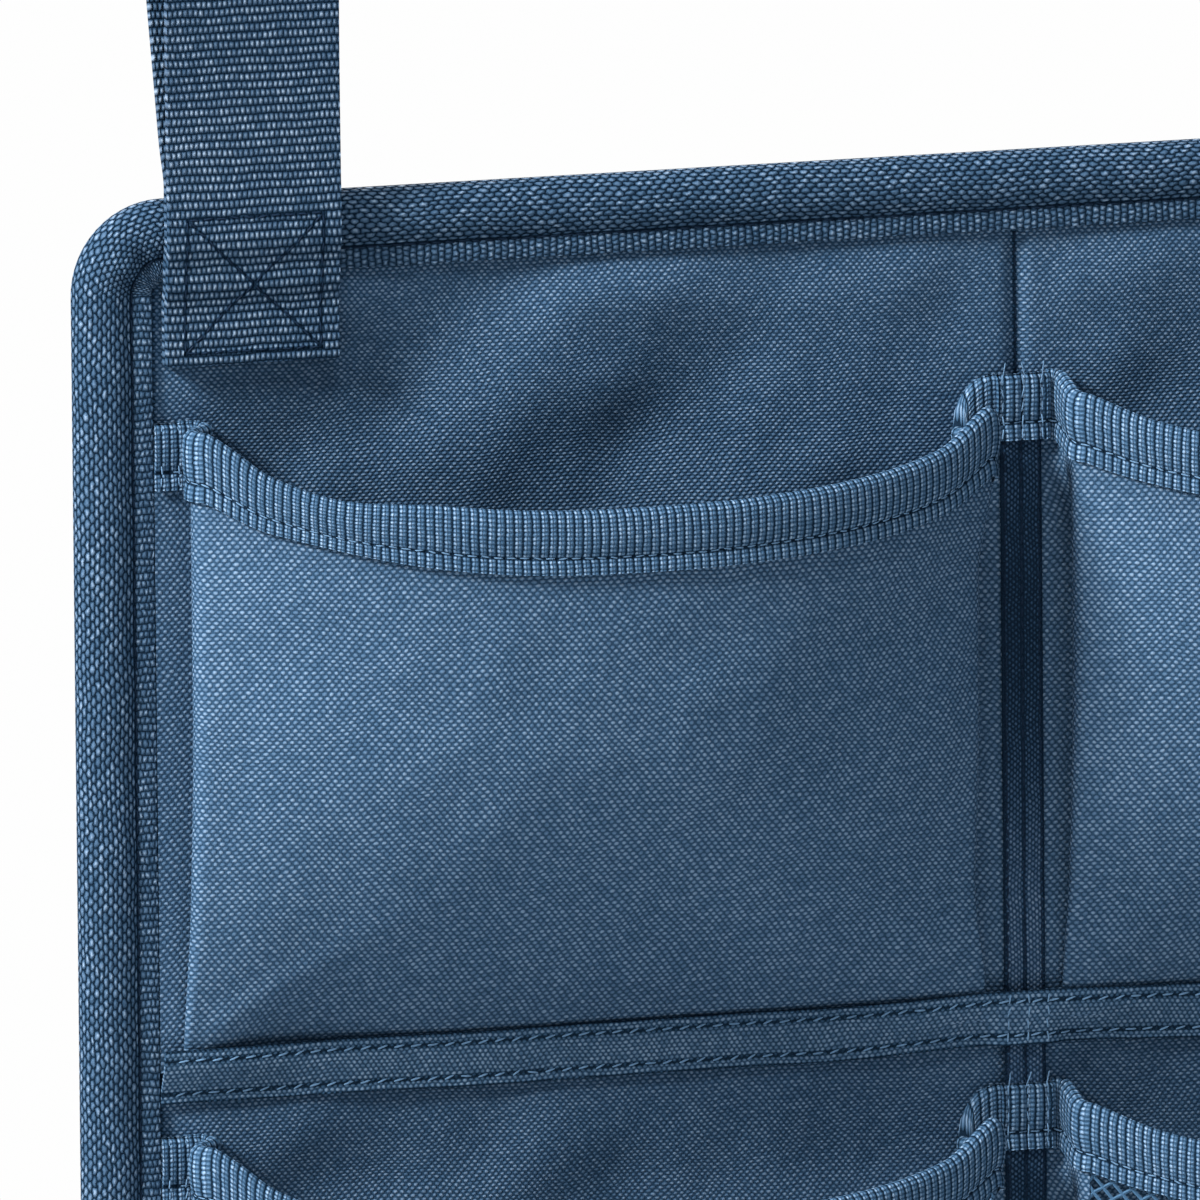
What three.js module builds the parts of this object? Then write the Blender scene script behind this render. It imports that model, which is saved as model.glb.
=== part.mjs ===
// Hanging camp organizer: a bound fabric panel with two columns and three rows of pleated pockets,
// hung from two webbing loops. Millimetres, +Z up, the pockets face -Y, the origin is where the bar bears.

import * as THREE from "three";

// Panel: front fabric, foam core and back lining, with a stitched valley down the middle
const PANEL_WIDTH = 418;
const CORNER_RADIUS = 20;
const CORE_THICKNESS = 2.4;
const FABRIC_THICKNESS = 0.8;
const LAYER_GAP = 0.3;
const VALLEY_DEPTH = 0.9;
const VALLEY_HALF_WIDTH = 5;

// Edge binding: a rolled tape folded over the edge, stitched down, with a flat lip past the stitches
const ROLL_WIDTH = 12;
const ROLL_THICKNESS = 9.8;
const STITCHED_WALL = 0.6;
const LIP_WIDTH = 4.5;
const LIP_THICKNESS = 0.9;
const EDGE_WALL = 1.6;

// Rows, from the panel's top edge down
const TOP_MARGIN = 48;
const ROW_COUNT = 3;
const NET_ROW = 1;
const POCKET_HEIGHT = 133;
const ROW_TAPE_WIDTH = 11.8;
const ROW_GAP = 7.7;
const BOTTOM_MARGIN = 8;
const FABRIC_TUCK = 5;

// Pocket form, in plan: a flange, a pleat folded back on it, and a front that bellies forward
const DIVIDER_WIDTH = 9;
const PLEAT_CORNER_INSET = 6;
const PLEAT_CORNER_RADIUS = 4;
const PLEAT_FOLD_INSET = 11.5;
const PLEAT_FOLD_RADIUS = 2.5;
const SIDE_DEPTH = 16.5;
const BELLY_DEPTH = 40;
const BELLY_POWER = 2.4;
const RIM_SAG = 15.5;
const SIDE_RISE = 0.65;
const SETTLE_RUN = 28;

// Hem tape, folded over each row's rim
const HEM_WIDTH = 15.5;
const HEM_BACK_WIDTH = 14.5;
const TAPE_THICKNESS = 0.8;

// Net
const NET_CELLS_HIGH = 5;
const NET_STRAND = 2.1;

// Straps
const WEBBING_WIDTH = 38;
const WEBBING_THICKNESS = 1.8;
const TAB_LENGTH = 35;
const STRAP_INSET = 2.5;
const CROWN_RADIUS = 12;
const HANG_HEIGHT = 125;
const TAB_RISE = 2.5;

// A tape or tab that steps over a layer starts this far past it and takes this long over the step
const STEP_CLEARANCE = 1;
const STEP_RUN = 3;

// Facets
const CORNER_STEPS = 6;
const ROLL_STEPS = 12;
const FOLD_STEPS = 4;
const BEND_STEPS = 3;
const FRONT_STEPS = 5;
const RISE_STEPS = 4;
const ROUND_SEGMENTS = 14;
const SLOPE_REACH = 0.5;

// Sizes that follow from those above. Depth is measured forward from the panel's middle plane.
const LEFT = -1;
const RIGHT = 1;
const BINDING_WIDTH = ROLL_WIDTH + LIP_WIDTH;
const ROW_PITCH = POCKET_HEIGHT + ROW_TAPE_WIDTH + ROW_GAP;
const PANEL_HEIGHT = TOP_MARGIN + ROW_COUNT * ROW_PITCH - ROW_GAP + BOTTOM_MARGIN + BINDING_WIDTH;
const BAY_EDGE = PANEL_WIDTH / 2 - BINDING_WIDTH;
const BAY_WIDTH = BAY_EDGE - DIVIDER_WIDTH / 2;
const FACE_DEPTH = CORE_THICKNESS / 2 + LAYER_GAP + FABRIC_THICKNESS;
const LIP_DEPTH = FACE_DEPTH + LAYER_GAP + LIP_THICKNESS;
const LAYER_PITCH = FABRIC_THICKNESS + LAYER_GAP;
const WEBBING_PITCH = WEBBING_THICKNESS + LAYER_GAP;
const STRAP_CENTRE = BAY_EDGE - STRAP_INSET - WEBBING_WIDTH / 2;
const STRAP_DEPTH = ROLL_THICKNESS / 2 + LAYER_GAP + WEBBING_THICKNESS + LAYER_GAP / 2;
const KNUCKLE_RADIUS = WEBBING_THICKNESS + LAYER_GAP / 2;
const HINGE_RISE = TAB_RISE + LAYER_GAP + KNUCKLE_RADIUS;
const CROWN_RISE = HANG_HEIGHT - CROWN_RADIUS - HINGE_RISE;
const PLEAT_STATIONS = FOLD_STEPS + 1 + BEND_STEPS + 1;
const BRIDGE_HALF_WIDTH = DIVIDER_WIDTH / 2 + STEP_CLEARANCE;

const { lerp: mix, clamp, smoothstep } = THREE.MathUtils;

// Depth of the middle of a fabric or tape that lies on the panel with a number of layers under it
function layerDepth(layersUnder) {
  return FACE_DEPTH + LAYER_GAP + FABRIC_THICKNESS / 2 + layersUnder * LAYER_PITCH;
}

function hemTop(row) {
  return -TOP_MARGIN - row * ROW_PITCH;
}

function tapeTop(row) {
  return hemTop(row) - POCKET_HEIGHT;
}

// How far a bellied shape has come forward at a place across the pocket, from -1 to 1
function bellyShape(across) {
  return 1 - Math.abs(across) ** BELLY_POWER;
}

function rimHeight(row, across) {
  return hemTop(row) - RIM_SAG * bellyShape(across);
}

// Mesh helpers

function solidFrom(points, faces) {
  let volume = 0;
  for (const [a, b, c] of faces) {
    volume += points[a].dot(points[b].clone().cross(points[c]));
  }
  const outward = volume < 0 ? faces.map(([a, b, c]) => [a, c, b]) : faces;
  const geometry = new THREE.BufferGeometry().setFromPoints(points);
  geometry.setIndex(outward.flat());
  geometry.computeVertexNormals();
  return geometry;
}

function gridFaces(rows, columns) {
  const faces = [];
  for (let row = 0; row < rows - 1; row += 1) {
    for (let column = 0; column < columns - 1; column += 1) {
      const corner = row * columns + column;
      faces.push([corner, corner + 1, corner + columns + 1]);
      faces.push([corner, corner + columns + 1, corner + columns]);
    }
  }
  return faces;
}

// Gives a sheet of triangles its thickness and closes it round every open edge
function thicken(points, normals, faces, thickness) {
  const count = points.length;
  const front = points.map((point, i) => point.clone().addScaledVector(normals[i], thickness / 2));
  const back = points.map((point, i) => point.clone().addScaledVector(normals[i], -thickness / 2));
  const edges = new Set();
  for (const [a, b, c] of faces) {
    edges.add(`${a},${b}`).add(`${b},${c}`).add(`${c},${a}`);
  }
  const closed = [...faces, ...faces.map(([a, b, c]) => [c + count, b + count, a + count])];
  for (const edge of edges) {
    const [a, b] = edge.split(",").map(Number);
    if (!edges.has(`${b},${a}`)) {
      closed.push([b, a, a + count], [b, a + count, b + count]);
    }
  }
  return solidFrom([...front, ...back], closed);
}

// Joins rings of equally many points into one body, as a closed loop or with flat ends
function loft(rings, closedLoop) {
  const size = rings[0].length;
  const points = rings.flat();
  const faces = [];
  const spans = closedLoop ? rings.length : rings.length - 1;
  for (let ring = 0; ring < spans; ring += 1) {
    const here = ring * size;
    const next = ((ring + 1) % rings.length) * size;
    for (let i = 0; i < size; i += 1) {
      const j = (i + 1) % size;
      faces.push([here + i, next + i, next + j], [here + i, next + j, here + j]);
    }
  }
  if (!closedLoop) {
    const last = (rings.length - 1) * size;
    for (const [a, b, c] of ringTriangles(rings[0])) {
      faces.push([a, b, c]);
    }
    for (const [a, b, c] of ringTriangles(rings[rings.length - 1])) {
      faces.push([last + c, last + b, last + a]);
    }
  }
  return solidFrom(points, faces);
}

// Triangles of a ring whose points lie in a plane of constant X
function ringTriangles(ring) {
  const outline = ring.map((point) => new THREE.Vector2(point.y, point.z));
  const triangles = THREE.ShapeUtils.triangulateShape(outline, []);
  const sameWay = THREE.ShapeUtils.isClockWise(outline) ? -1 : 1;
  return sameWay > 0 ? triangles : triangles.map(([a, b, c]) => [a, c, b]);
}

// Panel layers

function valleyAt(x) {
  return VALLEY_DEPTH * Math.cos((Math.PI / 2) * clamp(x / VALLEY_HALF_WIDTH, -1, 1)) ** 2;
}

// A sheet with the panel's rounded outline, inside the binding, between two depths
function panelSheet(frontDepth, backDepth) {
  const inset = EDGE_WALL + LAYER_GAP;
  const radius = CORNER_RADIUS - inset;
  const halfWidth = PANEL_WIDTH / 2 - inset;
  const clearEnd = CORNER_RADIUS + LIP_WIDTH;
  const columns = [-1, -0.5, 0, 0.5, 1].map((share) => share * VALLEY_HALF_WIDTH);
  for (let step = 0; step <= CORNER_STEPS; step += 1) {
    const reach = halfWidth - radius + radius * Math.sin((Math.PI / 2) * (step / CORNER_STEPS));
    columns.push(reach);
    columns.unshift(-reach);
  }
  const front = [];
  const back = [];
  for (const x of columns) {
    const past = Math.max(0, Math.abs(x) - (halfWidth - radius));
    const cornerDrop = inset + radius - Math.sqrt(Math.max(0, radius ** 2 - past ** 2));
    const levels = [-cornerDrop, -clearEnd, clearEnd - PANEL_HEIGHT, cornerDrop - PANEL_HEIGHT];
    for (const z of levels) {
      front.push(new THREE.Vector3(x, -frontDepth(x), z));
      back.push(new THREE.Vector3(x, -backDepth(x), z));
    }
  }
  const middle = front.map((point, i) => point.clone().lerp(back[i], 0.5));
  const spans = front.map((point, i) => point.clone().sub(back[i]));
  return thicken(middle, spans, gridFaces(columns.length, front.length / columns.length), 1);
}

function foamCore() {
  return panelSheet((x) => CORE_THICKNESS / 2 - valleyAt(x), () => -CORE_THICKNESS / 2);
}

function frontFabric() {
  const back = (x) => CORE_THICKNESS / 2 + LAYER_GAP - valleyAt(x);
  return panelSheet((x) => back(x) + FABRIC_THICKNESS, back);
}

function backLining() {
  return panelSheet(() => FABRIC_THICKNESS - FACE_DEPTH, () => -FACE_DEPTH);
}

// Binding

// Half the length and half the thickness of the ellipse that the binding's roll follows
function rollEllipse() {
  const halfThickness = ROLL_THICKNESS / 2;
  const stitchDepth = FACE_DEPTH + LAYER_GAP + STITCHED_WALL;
  const stitchAngle = Math.PI - Math.asin(stitchDepth / halfThickness);
  const halfLength = ROLL_WIDTH / (1 - Math.cos(stitchAngle));
  return { halfLength, halfThickness, stitchAngle };
}

// The binding's cross-section as inset from the panel's edge and depth, from lip to lip
function bindingSection() {
  const { halfLength, halfThickness, stitchAngle } = rollEllipse();
  const innerDepth = FACE_DEPTH + LAYER_GAP;
  const section = [];
  for (let step = 0; step <= ROLL_STEPS; step += 1) {
    const angle = mix(-stitchAngle, stitchAngle, step / ROLL_STEPS);
    const inset = halfLength * (1 - Math.cos(angle));
    section.push([inset, halfThickness * Math.sin(angle)]);
  }
  section.push([ROLL_WIDTH + LIP_THICKNESS, LIP_DEPTH], [BINDING_WIDTH, LIP_DEPTH]);
  section.push([BINDING_WIDTH, innerDepth], [EDGE_WALL, innerDepth]);
  section.push([EDGE_WALL, -innerDepth], [BINDING_WIDTH, -innerDepth]);
  section.push([BINDING_WIDTH, -LIP_DEPTH], [ROLL_WIDTH + LIP_THICKNESS, -LIP_DEPTH]);
  return section;
}

function edgeBinding() {
  const section = bindingSection();
  const corners = [
    [1, -1],
    [-1, -1],
    [-1, 1],
    [1, 1],
  ];
  const rings = [];
  corners.forEach(([sideX, sideZ], quarter) => {
    const centreX = sideX * (PANEL_WIDTH / 2 - CORNER_RADIUS);
    const centreZ = -PANEL_HEIGHT / 2 + sideZ * (PANEL_HEIGHT / 2 - CORNER_RADIUS);
    for (let step = 0; step <= CORNER_STEPS; step += 1) {
      const angle = -(Math.PI / 2) * (quarter + step / CORNER_STEPS);
      const ring = section.map(([inset, depth]) => {
        const reach = CORNER_RADIUS - inset;
        const x = centreX + reach * Math.cos(angle);
        const z = centreZ + reach * Math.sin(angle);
        return new THREE.Vector3(x, -depth, z);
      });
      rings.push(ring);
    }
  });
  return loft(rings, true);
}

// Pocket sections. A station lies along the bay from its outer seam, at a depth, with the heading of
// the path there and its place across the front, which is -1 in the pleat.

function arcStations(centreAlong, centreDepth, radius, turn, from, to, steps) {
  return Array.from({ length: steps + 1 }, (_, step) => {
    const heading = mix(from, to, step / steps);
    return {
      along: centreAlong + turn * radius * Math.sin(heading),
      depth: centreDepth - turn * radius * Math.cos(heading),
      heading,
      across: -1,
    };
  });
}

// How far a pocket's bottom edge has settled from its pleat's layers down to the panel
function settled(fromSeam) {
  const start = PLEAT_FOLD_INSET + FABRIC_THICKNESS;
  return smoothstep(fromSeam, start, start + SETTLE_RUN);
}

// The pleat at one height, where rise goes from 0 at the row tape to 1 at the hem
function pleatStations(rise) {
  const sideRise = Math.sin((Math.PI / 2) * Math.min(1, rise / SIDE_RISE));
  const foldRadius = mix(LAYER_PITCH / 2, PLEAT_FOLD_RADIUS, sideRise);
  const cornerRadius = mix(LAYER_PITCH / 2, PLEAT_CORNER_RADIUS, sideRise);
  const cornerDepth = mix(layerDepth(2), SIDE_DEPTH, sideRise);
  const bulge = (BELLY_DEPTH - SIDE_DEPTH) * Math.sin((Math.PI / 2) * rise);
  const foldAlong = PLEAT_FOLD_INSET - foldRadius;
  const foldDepth = layerDepth(0) + foldRadius;
  const bendAlong = PLEAT_CORNER_INSET + cornerRadius;
  const bendDepth = cornerDepth - cornerRadius;
  const run = bendAlong - foldAlong;
  const climb = bendDepth - foldDepth;
  const back = Math.atan2(climb, run) + Math.asin((foldRadius + cornerRadius) / Math.hypot(run, climb));
  const start = Math.atan((bulge * BELLY_POWER) / (BAY_WIDTH / 2 - bendAlong));
  return {
    fold: arcStations(foldAlong, foldDepth, foldRadius, 1, 0, back, FOLD_STEPS),
    bend: arcStations(bendAlong, bendDepth, cornerRadius, -1, back, start, BEND_STEPS),
    bulge,
    dip: 2 * LAYER_PITCH * (1 - sideRise),
  };
}

// The front from the pleat's bend to the pocket's middle
function frontStations(pleat) {
  const first = pleat.bend[pleat.bend.length - 1];
  const halfSpan = BAY_WIDTH / 2 - first.along;
  const depthAt = (along) => {
    const across = (along - BAY_WIDTH / 2) / halfSpan;
    return first.depth + pleat.bulge * bellyShape(across) - pleat.dip * settled(along);
  };
  const climbAt = (along) => depthAt(along + SLOPE_REACH) - depthAt(along - SLOPE_REACH);
  const stations = [];
  for (let step = 1; step <= FRONT_STEPS; step += 1) {
    const across = step / FRONT_STEPS - 1;
    const along = BAY_WIDTH / 2 + across * halfSpan;
    const heading = step < FRONT_STEPS ? Math.atan2(climbAt(along), 2 * SLOPE_REACH) : 0;
    stations.push({ along, depth: depthAt(along), heading, across });
  }
  return stations;
}

function mirrored(stations) {
  return stations
    .map(({ along, depth, heading, across }) => {
      return { along: BAY_WIDTH - along, depth, heading: -heading, across: -across };
    })
    .reverse();
}

// A whole bay's path at one height, from the outer seam to the middle of the panel
function bayStations(rise) {
  const pleat = pleatStations(rise);
  const outer = { along: LAYER_GAP, depth: layerDepth(0), heading: 0, across: -1 };
  const half = [outer, ...pleat.fold, ...pleat.bend, ...frontStations(pleat)];
  const otherHalf = mirrored(half.slice(0, -1));
  otherHalf[otherHalf.length - 1].along = BAY_WIDTH + DIVIDER_WIDTH / 2 - LAYER_GAP / 2;
  return [...half, ...otherHalf];
}

// A point beside a station, at a distance in front of the path, on the left or right of the panel
function besideStation(side, station, offset, z) {
  const along = station.along - offset * Math.sin(station.heading);
  const depth = station.depth + offset * Math.cos(station.heading);
  return new THREE.Vector3(side * (BAY_EDGE - along), -depth, z);
}

function stationNormal(side, station) {
  return new THREE.Vector3(side * Math.sin(station.heading), -Math.cos(station.heading), 0);
}

// The heights at which a pocket's fabric is sectioned: tucked, at the tape, up the front, in the hem
function fabricLevels(row) {
  const slotBottom = (across) => rimHeight(row, across) - HEM_WIDTH - LAYER_GAP;
  const levels = [{ rise: 0, height: () => tapeTop(row) - FABRIC_TUCK }];
  for (let step = 0; step <= RISE_STEPS; step += 1) {
    const rise = step / RISE_STEPS;
    levels.push({ rise, height: (across) => mix(tapeTop(row), slotBottom(across), rise) });
  }
  levels.push({ rise: 1, height: (across) => rimHeight(row, across) - TAPE_THICKNESS - LAYER_GAP });
  return levels;
}

// Fabric that follows part of the bay's path at every level
function fabricSheet(side, row, choose) {
  const points = [];
  const normals = [];
  const levels = fabricLevels(row);
  for (const { rise, height } of levels) {
    for (const station of choose(bayStations(rise))) {
      points.push(besideStation(side, station, 0, height(station.across)));
      normals.push(stationNormal(side, station));
    }
  }
  const faces = gridFaces(levels.length, points.length / levels.length);
  return thicken(points, normals, faces, FABRIC_THICKNESS);
}

function pocketFabric(side, row) {
  return fabricSheet(side, row, (stations) => stations);
}

// A pleat strip ends at a clearance short of the net's first or last station
function shortOf(station, previous) {
  const share = 1 - LAYER_GAP / Math.hypot(station.along - previous.along, station.depth - previous.depth);
  return {
    ...station,
    along: mix(previous.along, station.along, share),
    depth: mix(previous.depth, station.depth, share),
  };
}

function outerPleat(side, row) {
  return fabricSheet(side, row, (stations) => {
    const end = PLEAT_STATIONS;
    return [...stations.slice(0, end), shortOf(stations[end], stations[end - 1])];
  });
}

function innerPleat(side, row) {
  return fabricSheet(side, row, (stations) => {
    const start = stations.length - 1 - PLEAT_STATIONS;
    return [shortOf(stations[start], stations[start + 1]), ...stations.slice(start + 1)];
  });
}

// Net: a lattice of diamond gaps over the unit square, with its outermost half gaps filled

function latticeNet(halfCellsWide, halfCellsHigh, strandWide, strandHigh) {
  const places = [];
  const faces = [];
  const index = new Map();
  const vertex = (i, j, toward) => {
    const key = `${i},${j},${toward}`;
    if (!index.has(key)) {
      const [right, up] = { E: [1, 0], W: [-1, 0], N: [0, 1], S: [0, -1], C: [0, 0] }[toward];
      index.set(key, places.length);
      places.push([i / halfCellsWide + right * strandWide, j / halfCellsHigh + up * strandHigh]);
    }
    return index.get(key);
  };
  const inside = (i, j) => i >= 0 && j >= 0 && i <= halfCellsWide && j <= halfCellsHigh;
  const addPolygon = (corners) => {
    const present = corners.filter(([i, j]) => inside(i, j)).map(([i, j, toward]) => vertex(i, j, toward));
    for (let k = 1; k < present.length - 1; k += 1) {
      faces.push([present[0], present[k], present[k + 1]]);
    }
  };
  for (let i = 0; i <= halfCellsWide; i += 1) {
    for (let j = 0; j <= halfCellsHigh; j += 1) {
      const atEdge = i === 0 || j === 0 || i === halfCellsWide || j === halfCellsHigh;
      if ((i + j) % 2 === 1) {
        const knot = [];
        if (i > 0) knot.push([i, j, "W"]);
        if (j > 0) knot.push([i, j, "S"]);
        if (i < halfCellsWide) knot.push([i, j, "E"]);
        if (j < halfCellsHigh) knot.push([i, j, "N"]);
        addPolygon(knot);
        if (inside(i + 1, j + 1)) {
          addPolygon([[i, j, "E"], [i + 1, j + 1, "S"], [i + 1, j + 1, "W"], [i, j, "N"]]);
        }
        if (inside(i - 1, j + 1)) {
          addPolygon([[i, j, "N"], [i - 1, j + 1, "E"], [i - 1, j + 1, "S"], [i, j, "W"]]);
        }
      } else if (atEdge) {
        const ring = [[i, j - 1, "N"], [i + 1, j, "W"], [i, j + 1, "S"], [i - 1, j, "E"]];
        const start = ring.findIndex(([a, b], k) => inside(a, b) && !inside(...ring.at(k - 1)));
        addPolygon([[i, j, "C"], ...ring.slice(start), ...ring.slice(0, start)]);
      }
    }
  }
  return { places, faces };
}

// The front's stations at one height, from the end of one pleat to the start of the other
function frontPath(rise) {
  return bayStations(rise).slice(PLEAT_STATIONS, -PLEAT_STATIONS);
}

function stationAtShare(path, share) {
  const first = Math.min(path.length - 2, Math.floor(share * (path.length - 1)));
  const part = share * (path.length - 1) - first;
  const station = {};
  for (const key of ["along", "depth", "heading", "across"]) {
    station[key] = mix(path[first][key], path[first + 1][key], part);
  }
  return station;
}

// The net's lowest half gap is the part tucked behind the row tape
function pocketNet(side, row) {
  const halfCellsHigh = 2 * NET_CELLS_HIGH;
  const tuckedShare = 1 / halfCellsHigh;
  const strand = (NET_STRAND * Math.SQRT1_2) / BAY_WIDTH;
  const strandUp = (NET_STRAND * Math.SQRT1_2) / POCKET_HEIGHT;
  const { places, faces } = latticeNet(4 * FRONT_STEPS, halfCellsHigh, strand, strandUp);
  const points = [];
  const normals = [];
  for (const [share, up] of places) {
    const rim = rimHeight(row, 2 * share - 1);
    const slotBottom = rim - HEM_WIDTH - LAYER_GAP;
    const tucked = mix(tapeTop(row) - FABRIC_TUCK, tapeTop(row), up / tuckedShare);
    const top = rim - TAPE_THICKNESS - LAYER_GAP;
    const free = mix(tapeTop(row), top, (up - tuckedShare) / (1 - tuckedShare));
    const z = up < tuckedShare ? tucked : free;
    const rise = clamp((z - tapeTop(row)) / (slotBottom - tapeTop(row)), 0, 1);
    const station = stationAtShare(frontPath(rise), share);
    points.push(besideStation(side, station, 0, z));
    normals.push(stationNormal(side, station));
  }
  return thicken(points, normals, faces, FABRIC_THICKNESS);
}

// Hem: one tape per row. It lies flat at the seams and is folded over the fabric along each rim.

// The rim's stations over the whole panel, left to right, with where the tape has its back leg
function hemStations() {
  const bay = bayStations(1);
  const foldStart = 1;
  const backFrom = foldStart + FOLD_STEPS / 2;
  const backTo = bay.length - 1 - backFrom;
  const left = bay.slice(0, -1).map((station, i) => {
    return { side: LEFT, station, lift: 0, folded: i >= backFrom && i <= backTo };
  });
  const bridgeEnd = BAY_EDGE - BRIDGE_HALF_WIDTH;
  const rampStart = bay[bay.length - 2].along + STEP_CLEARANCE;
  const bridge = [rampStart, mix(rampStart, bridgeEnd, 0.5), bridgeEnd].map((along, i) => {
    const station = { along, depth: layerDepth(0), heading: 0, across: 1 };
    return { side: LEFT, station, lift: (LAYER_PITCH * i) / 2, folded: false };
  });
  const half = [...left, ...bridge];
  const right = half.map((entry) => ({ ...entry, side: RIGHT })).reverse();
  return [...half, ...right];
}

// The hem's section goes from the front leg's foot over the rim to the back leg's foot and in again.
// Where the tape lies flat it has the front leg only.
const BACK_LEG = ["backTop", "backFoot", "backHeel", "backInner"];
const FOLDED_RING = ["foot", "top", "ridge", ...BACK_LEG, "inner", "heel"];
const FLAT_RING = ["foot", "top", "ridge", "inner", "heel"];
const FLAT_END = [["foot", "top", "ridge"], ["foot", "ridge", "inner"], ["foot", "inner", "heel"]];
const FOLD_END = [
  ["ridge", "backTop", "inner"],
  ["backTop", "backInner", "inner"],
  ["backTop", "backFoot", "backInner"],
  ["backFoot", "backHeel", "backInner"],
];

function hemCorners(top) {
  const outside = FABRIC_THICKNESS / 2 + LAYER_GAP + TAPE_THICKNESS;
  const inside = outside - TAPE_THICKNESS;
  return {
    foot: [outside, top - HEM_WIDTH],
    top: [outside, top],
    ridge: [inside, top],
    backTop: [-outside, top],
    backFoot: [-outside, top - HEM_BACK_WIDTH],
    backHeel: [-inside, top - HEM_BACK_WIDTH],
    backInner: [-inside, top - TAPE_THICKNESS],
    inner: [inside, top - TAPE_THICKNESS],
    heel: [inside, top - HEM_WIDTH],
  };
}

function pocketHem(row) {
  const points = [];
  const faces = [];
  let previous = null;
  for (const { side, station, lift, folded } of hemStations()) {
    const corners = hemCorners(rimHeight(row, station.across));
    const ring = new Map();
    for (const corner of folded ? FOLDED_RING : FLAT_RING) {
      const [offset, z] = corners[corner];
      ring.set(corner, points.length);
      points.push(besideStation(side, station, offset + lift, z));
    }
    if (previous === null) {
      faces.push(...endFaces(FLAT_END, ring, false));
    } else {
      faces.push(...strip(folded && previous.folded ? FOLDED_RING : FLAT_RING, previous.ring, ring));
      if (folded !== previous.folded) {
        faces.push(...endFaces(FOLD_END, folded ? ring : previous.ring, !folded));
      }
    }
    previous = { ring, folded };
  }
  faces.push(...endFaces(FLAT_END, previous.ring, true));
  return solidFrom(points, faces);
}

// Faces between two rings that share these corners
function strip(corners, from, to) {
  return corners.flatMap((corner, i) => {
    const next = corners[(i + 1) % corners.length];
    const [a, b, c, d] = [from.get(corner), to.get(corner), to.get(next), from.get(next)];
    return [[a, b, c], [a, c, d]];
  });
}

function endFaces(triangles, ring, reversed) {
  return triangles.map(([a, b, c]) => {
    const face = [ring.get(a), ring.get(b), ring.get(c)];
    return reversed ? face.reverse() : face;
  });
}

// Row tape: its upper half lies over the pockets' tucked fabric, its lower half on the panel

function rowTape(row) {
  const half = TAPE_THICKNESS / 2;
  const top = tapeTop(row);
  const stepTop = top - FABRIC_TUCK - LAYER_GAP;
  const stepBottom = stepTop - 2 * LAYER_PITCH;
  const seam = { along: LAYER_GAP, depth: layerDepth(2) };
  const bridgeStart = { ...seam, along: BAY_EDGE - BRIDGE_HALF_WIDTH - STEP_RUN };
  const bridgeEnd = { ...seam, along: BAY_EDGE - BRIDGE_HALF_WIDTH };
  const bay = [seam, ...frontPath(0), bridgeStart, bridgeEnd];
  const leftSide = bay.map(({ along, depth }) => ({ x: along - BAY_EDGE, depth }));
  const rightSide = leftSide.map(({ x, depth }) => ({ x: -x, depth })).reverse();
  const rings = [...leftSide, ...rightSide].map(({ x, depth }) => {
    const upper = depth + LAYER_PITCH;
    const besideDivider = smoothstep(Math.abs(x), BRIDGE_HALF_WIDTH, BRIDGE_HALF_WIDTH + STEP_RUN);
    const lower = mix(layerDepth(2), layerDepth(0), besideDivider);
    const outline = [
      [upper + half, top],
      [upper + half, stepTop - half],
      [lower + half, stepBottom - half],
      [lower + half, top - ROW_TAPE_WIDTH],
      [lower - half, top - ROW_TAPE_WIDTH],
      [lower - half, stepBottom],
      [upper - half, stepTop],
      [upper - half, top],
    ];
    return outline.map(([forward, z]) => new THREE.Vector3(x, -forward, z));
  });
  return loft(rings, false);
}

function dividerTape() {
  const length = hemTop(0) - tapeTop(ROW_COUNT - 1) + ROW_TAPE_WIDTH;
  const tape = new THREE.BoxGeometry(DIVIDER_WIDTH, TAPE_THICKNESS, length);
  tape.translate(0, -layerDepth(1), hemTop(0) - length / 2);
  return tape;
}

// Straps

// Extrudes a side profile, drawn as (y, z), over the webbing's width
function webbing(profile) {
  const geometry = new THREE.ExtrudeGeometry(profile, {
    depth: WEBBING_WIDTH,
    bevelEnabled: false,
    curveSegments: ROUND_SEGMENTS,
  });
  geometry.translate(0, 0, -WEBBING_WIDTH / 2);
  const across = new THREE.Vector3(1, 0, 0);
  const back = new THREE.Vector3(0, 1, 0);
  const up = new THREE.Vector3(0, 0, 1);
  return geometry.applyMatrix4(new THREE.Matrix4().makeBasis(back, up, across));
}

// A tab lies on the front fabric, steps over the lip and the roll, and stands up to the hinge
function strapTab(layersUnder) {
  const seat = LAYER_GAP + WEBBING_THICKNESS / 2 + layersUnder * WEBBING_PITCH;
  const lipEdge = -BINDING_WIDTH - STEP_CLEARANCE;
  const route = [
    [FACE_DEPTH, -TAB_LENGTH],
    [FACE_DEPTH, lipEdge - STEP_RUN],
    [LIP_DEPTH, lipEdge],
    [LIP_DEPTH, -ROLL_WIDTH],
    [ROLL_THICKNESS / 2, -ROLL_WIDTH + STEP_RUN],
    [ROLL_THICKNESS / 2, TAB_RISE],
  ];
  const edge = (offset) => route.map(([depth, z]) => new THREE.Vector2(-(depth + seat + offset), z));
  const outline = [...edge(-WEBBING_THICKNESS / 2), ...edge(WEBBING_THICKNESS / 2).reverse()];
  return webbing(new THREE.Shape(outline));
}

// Draws the band round a small circle at the origin and a large one above it
function teardrop(path, smallRadius, largeRadius, distance) {
  const lean = Math.asin((largeRadius - smallRadius) / distance);
  path.moveTo(smallRadius * Math.cos(lean), -smallRadius * Math.sin(lean));
  path.absarc(0, distance, largeRadius, -lean, Math.PI + lean, false);
  path.absarc(0, 0, smallRadius, Math.PI + lean, 2 * Math.PI - lean, false);
  return path;
}

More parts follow.
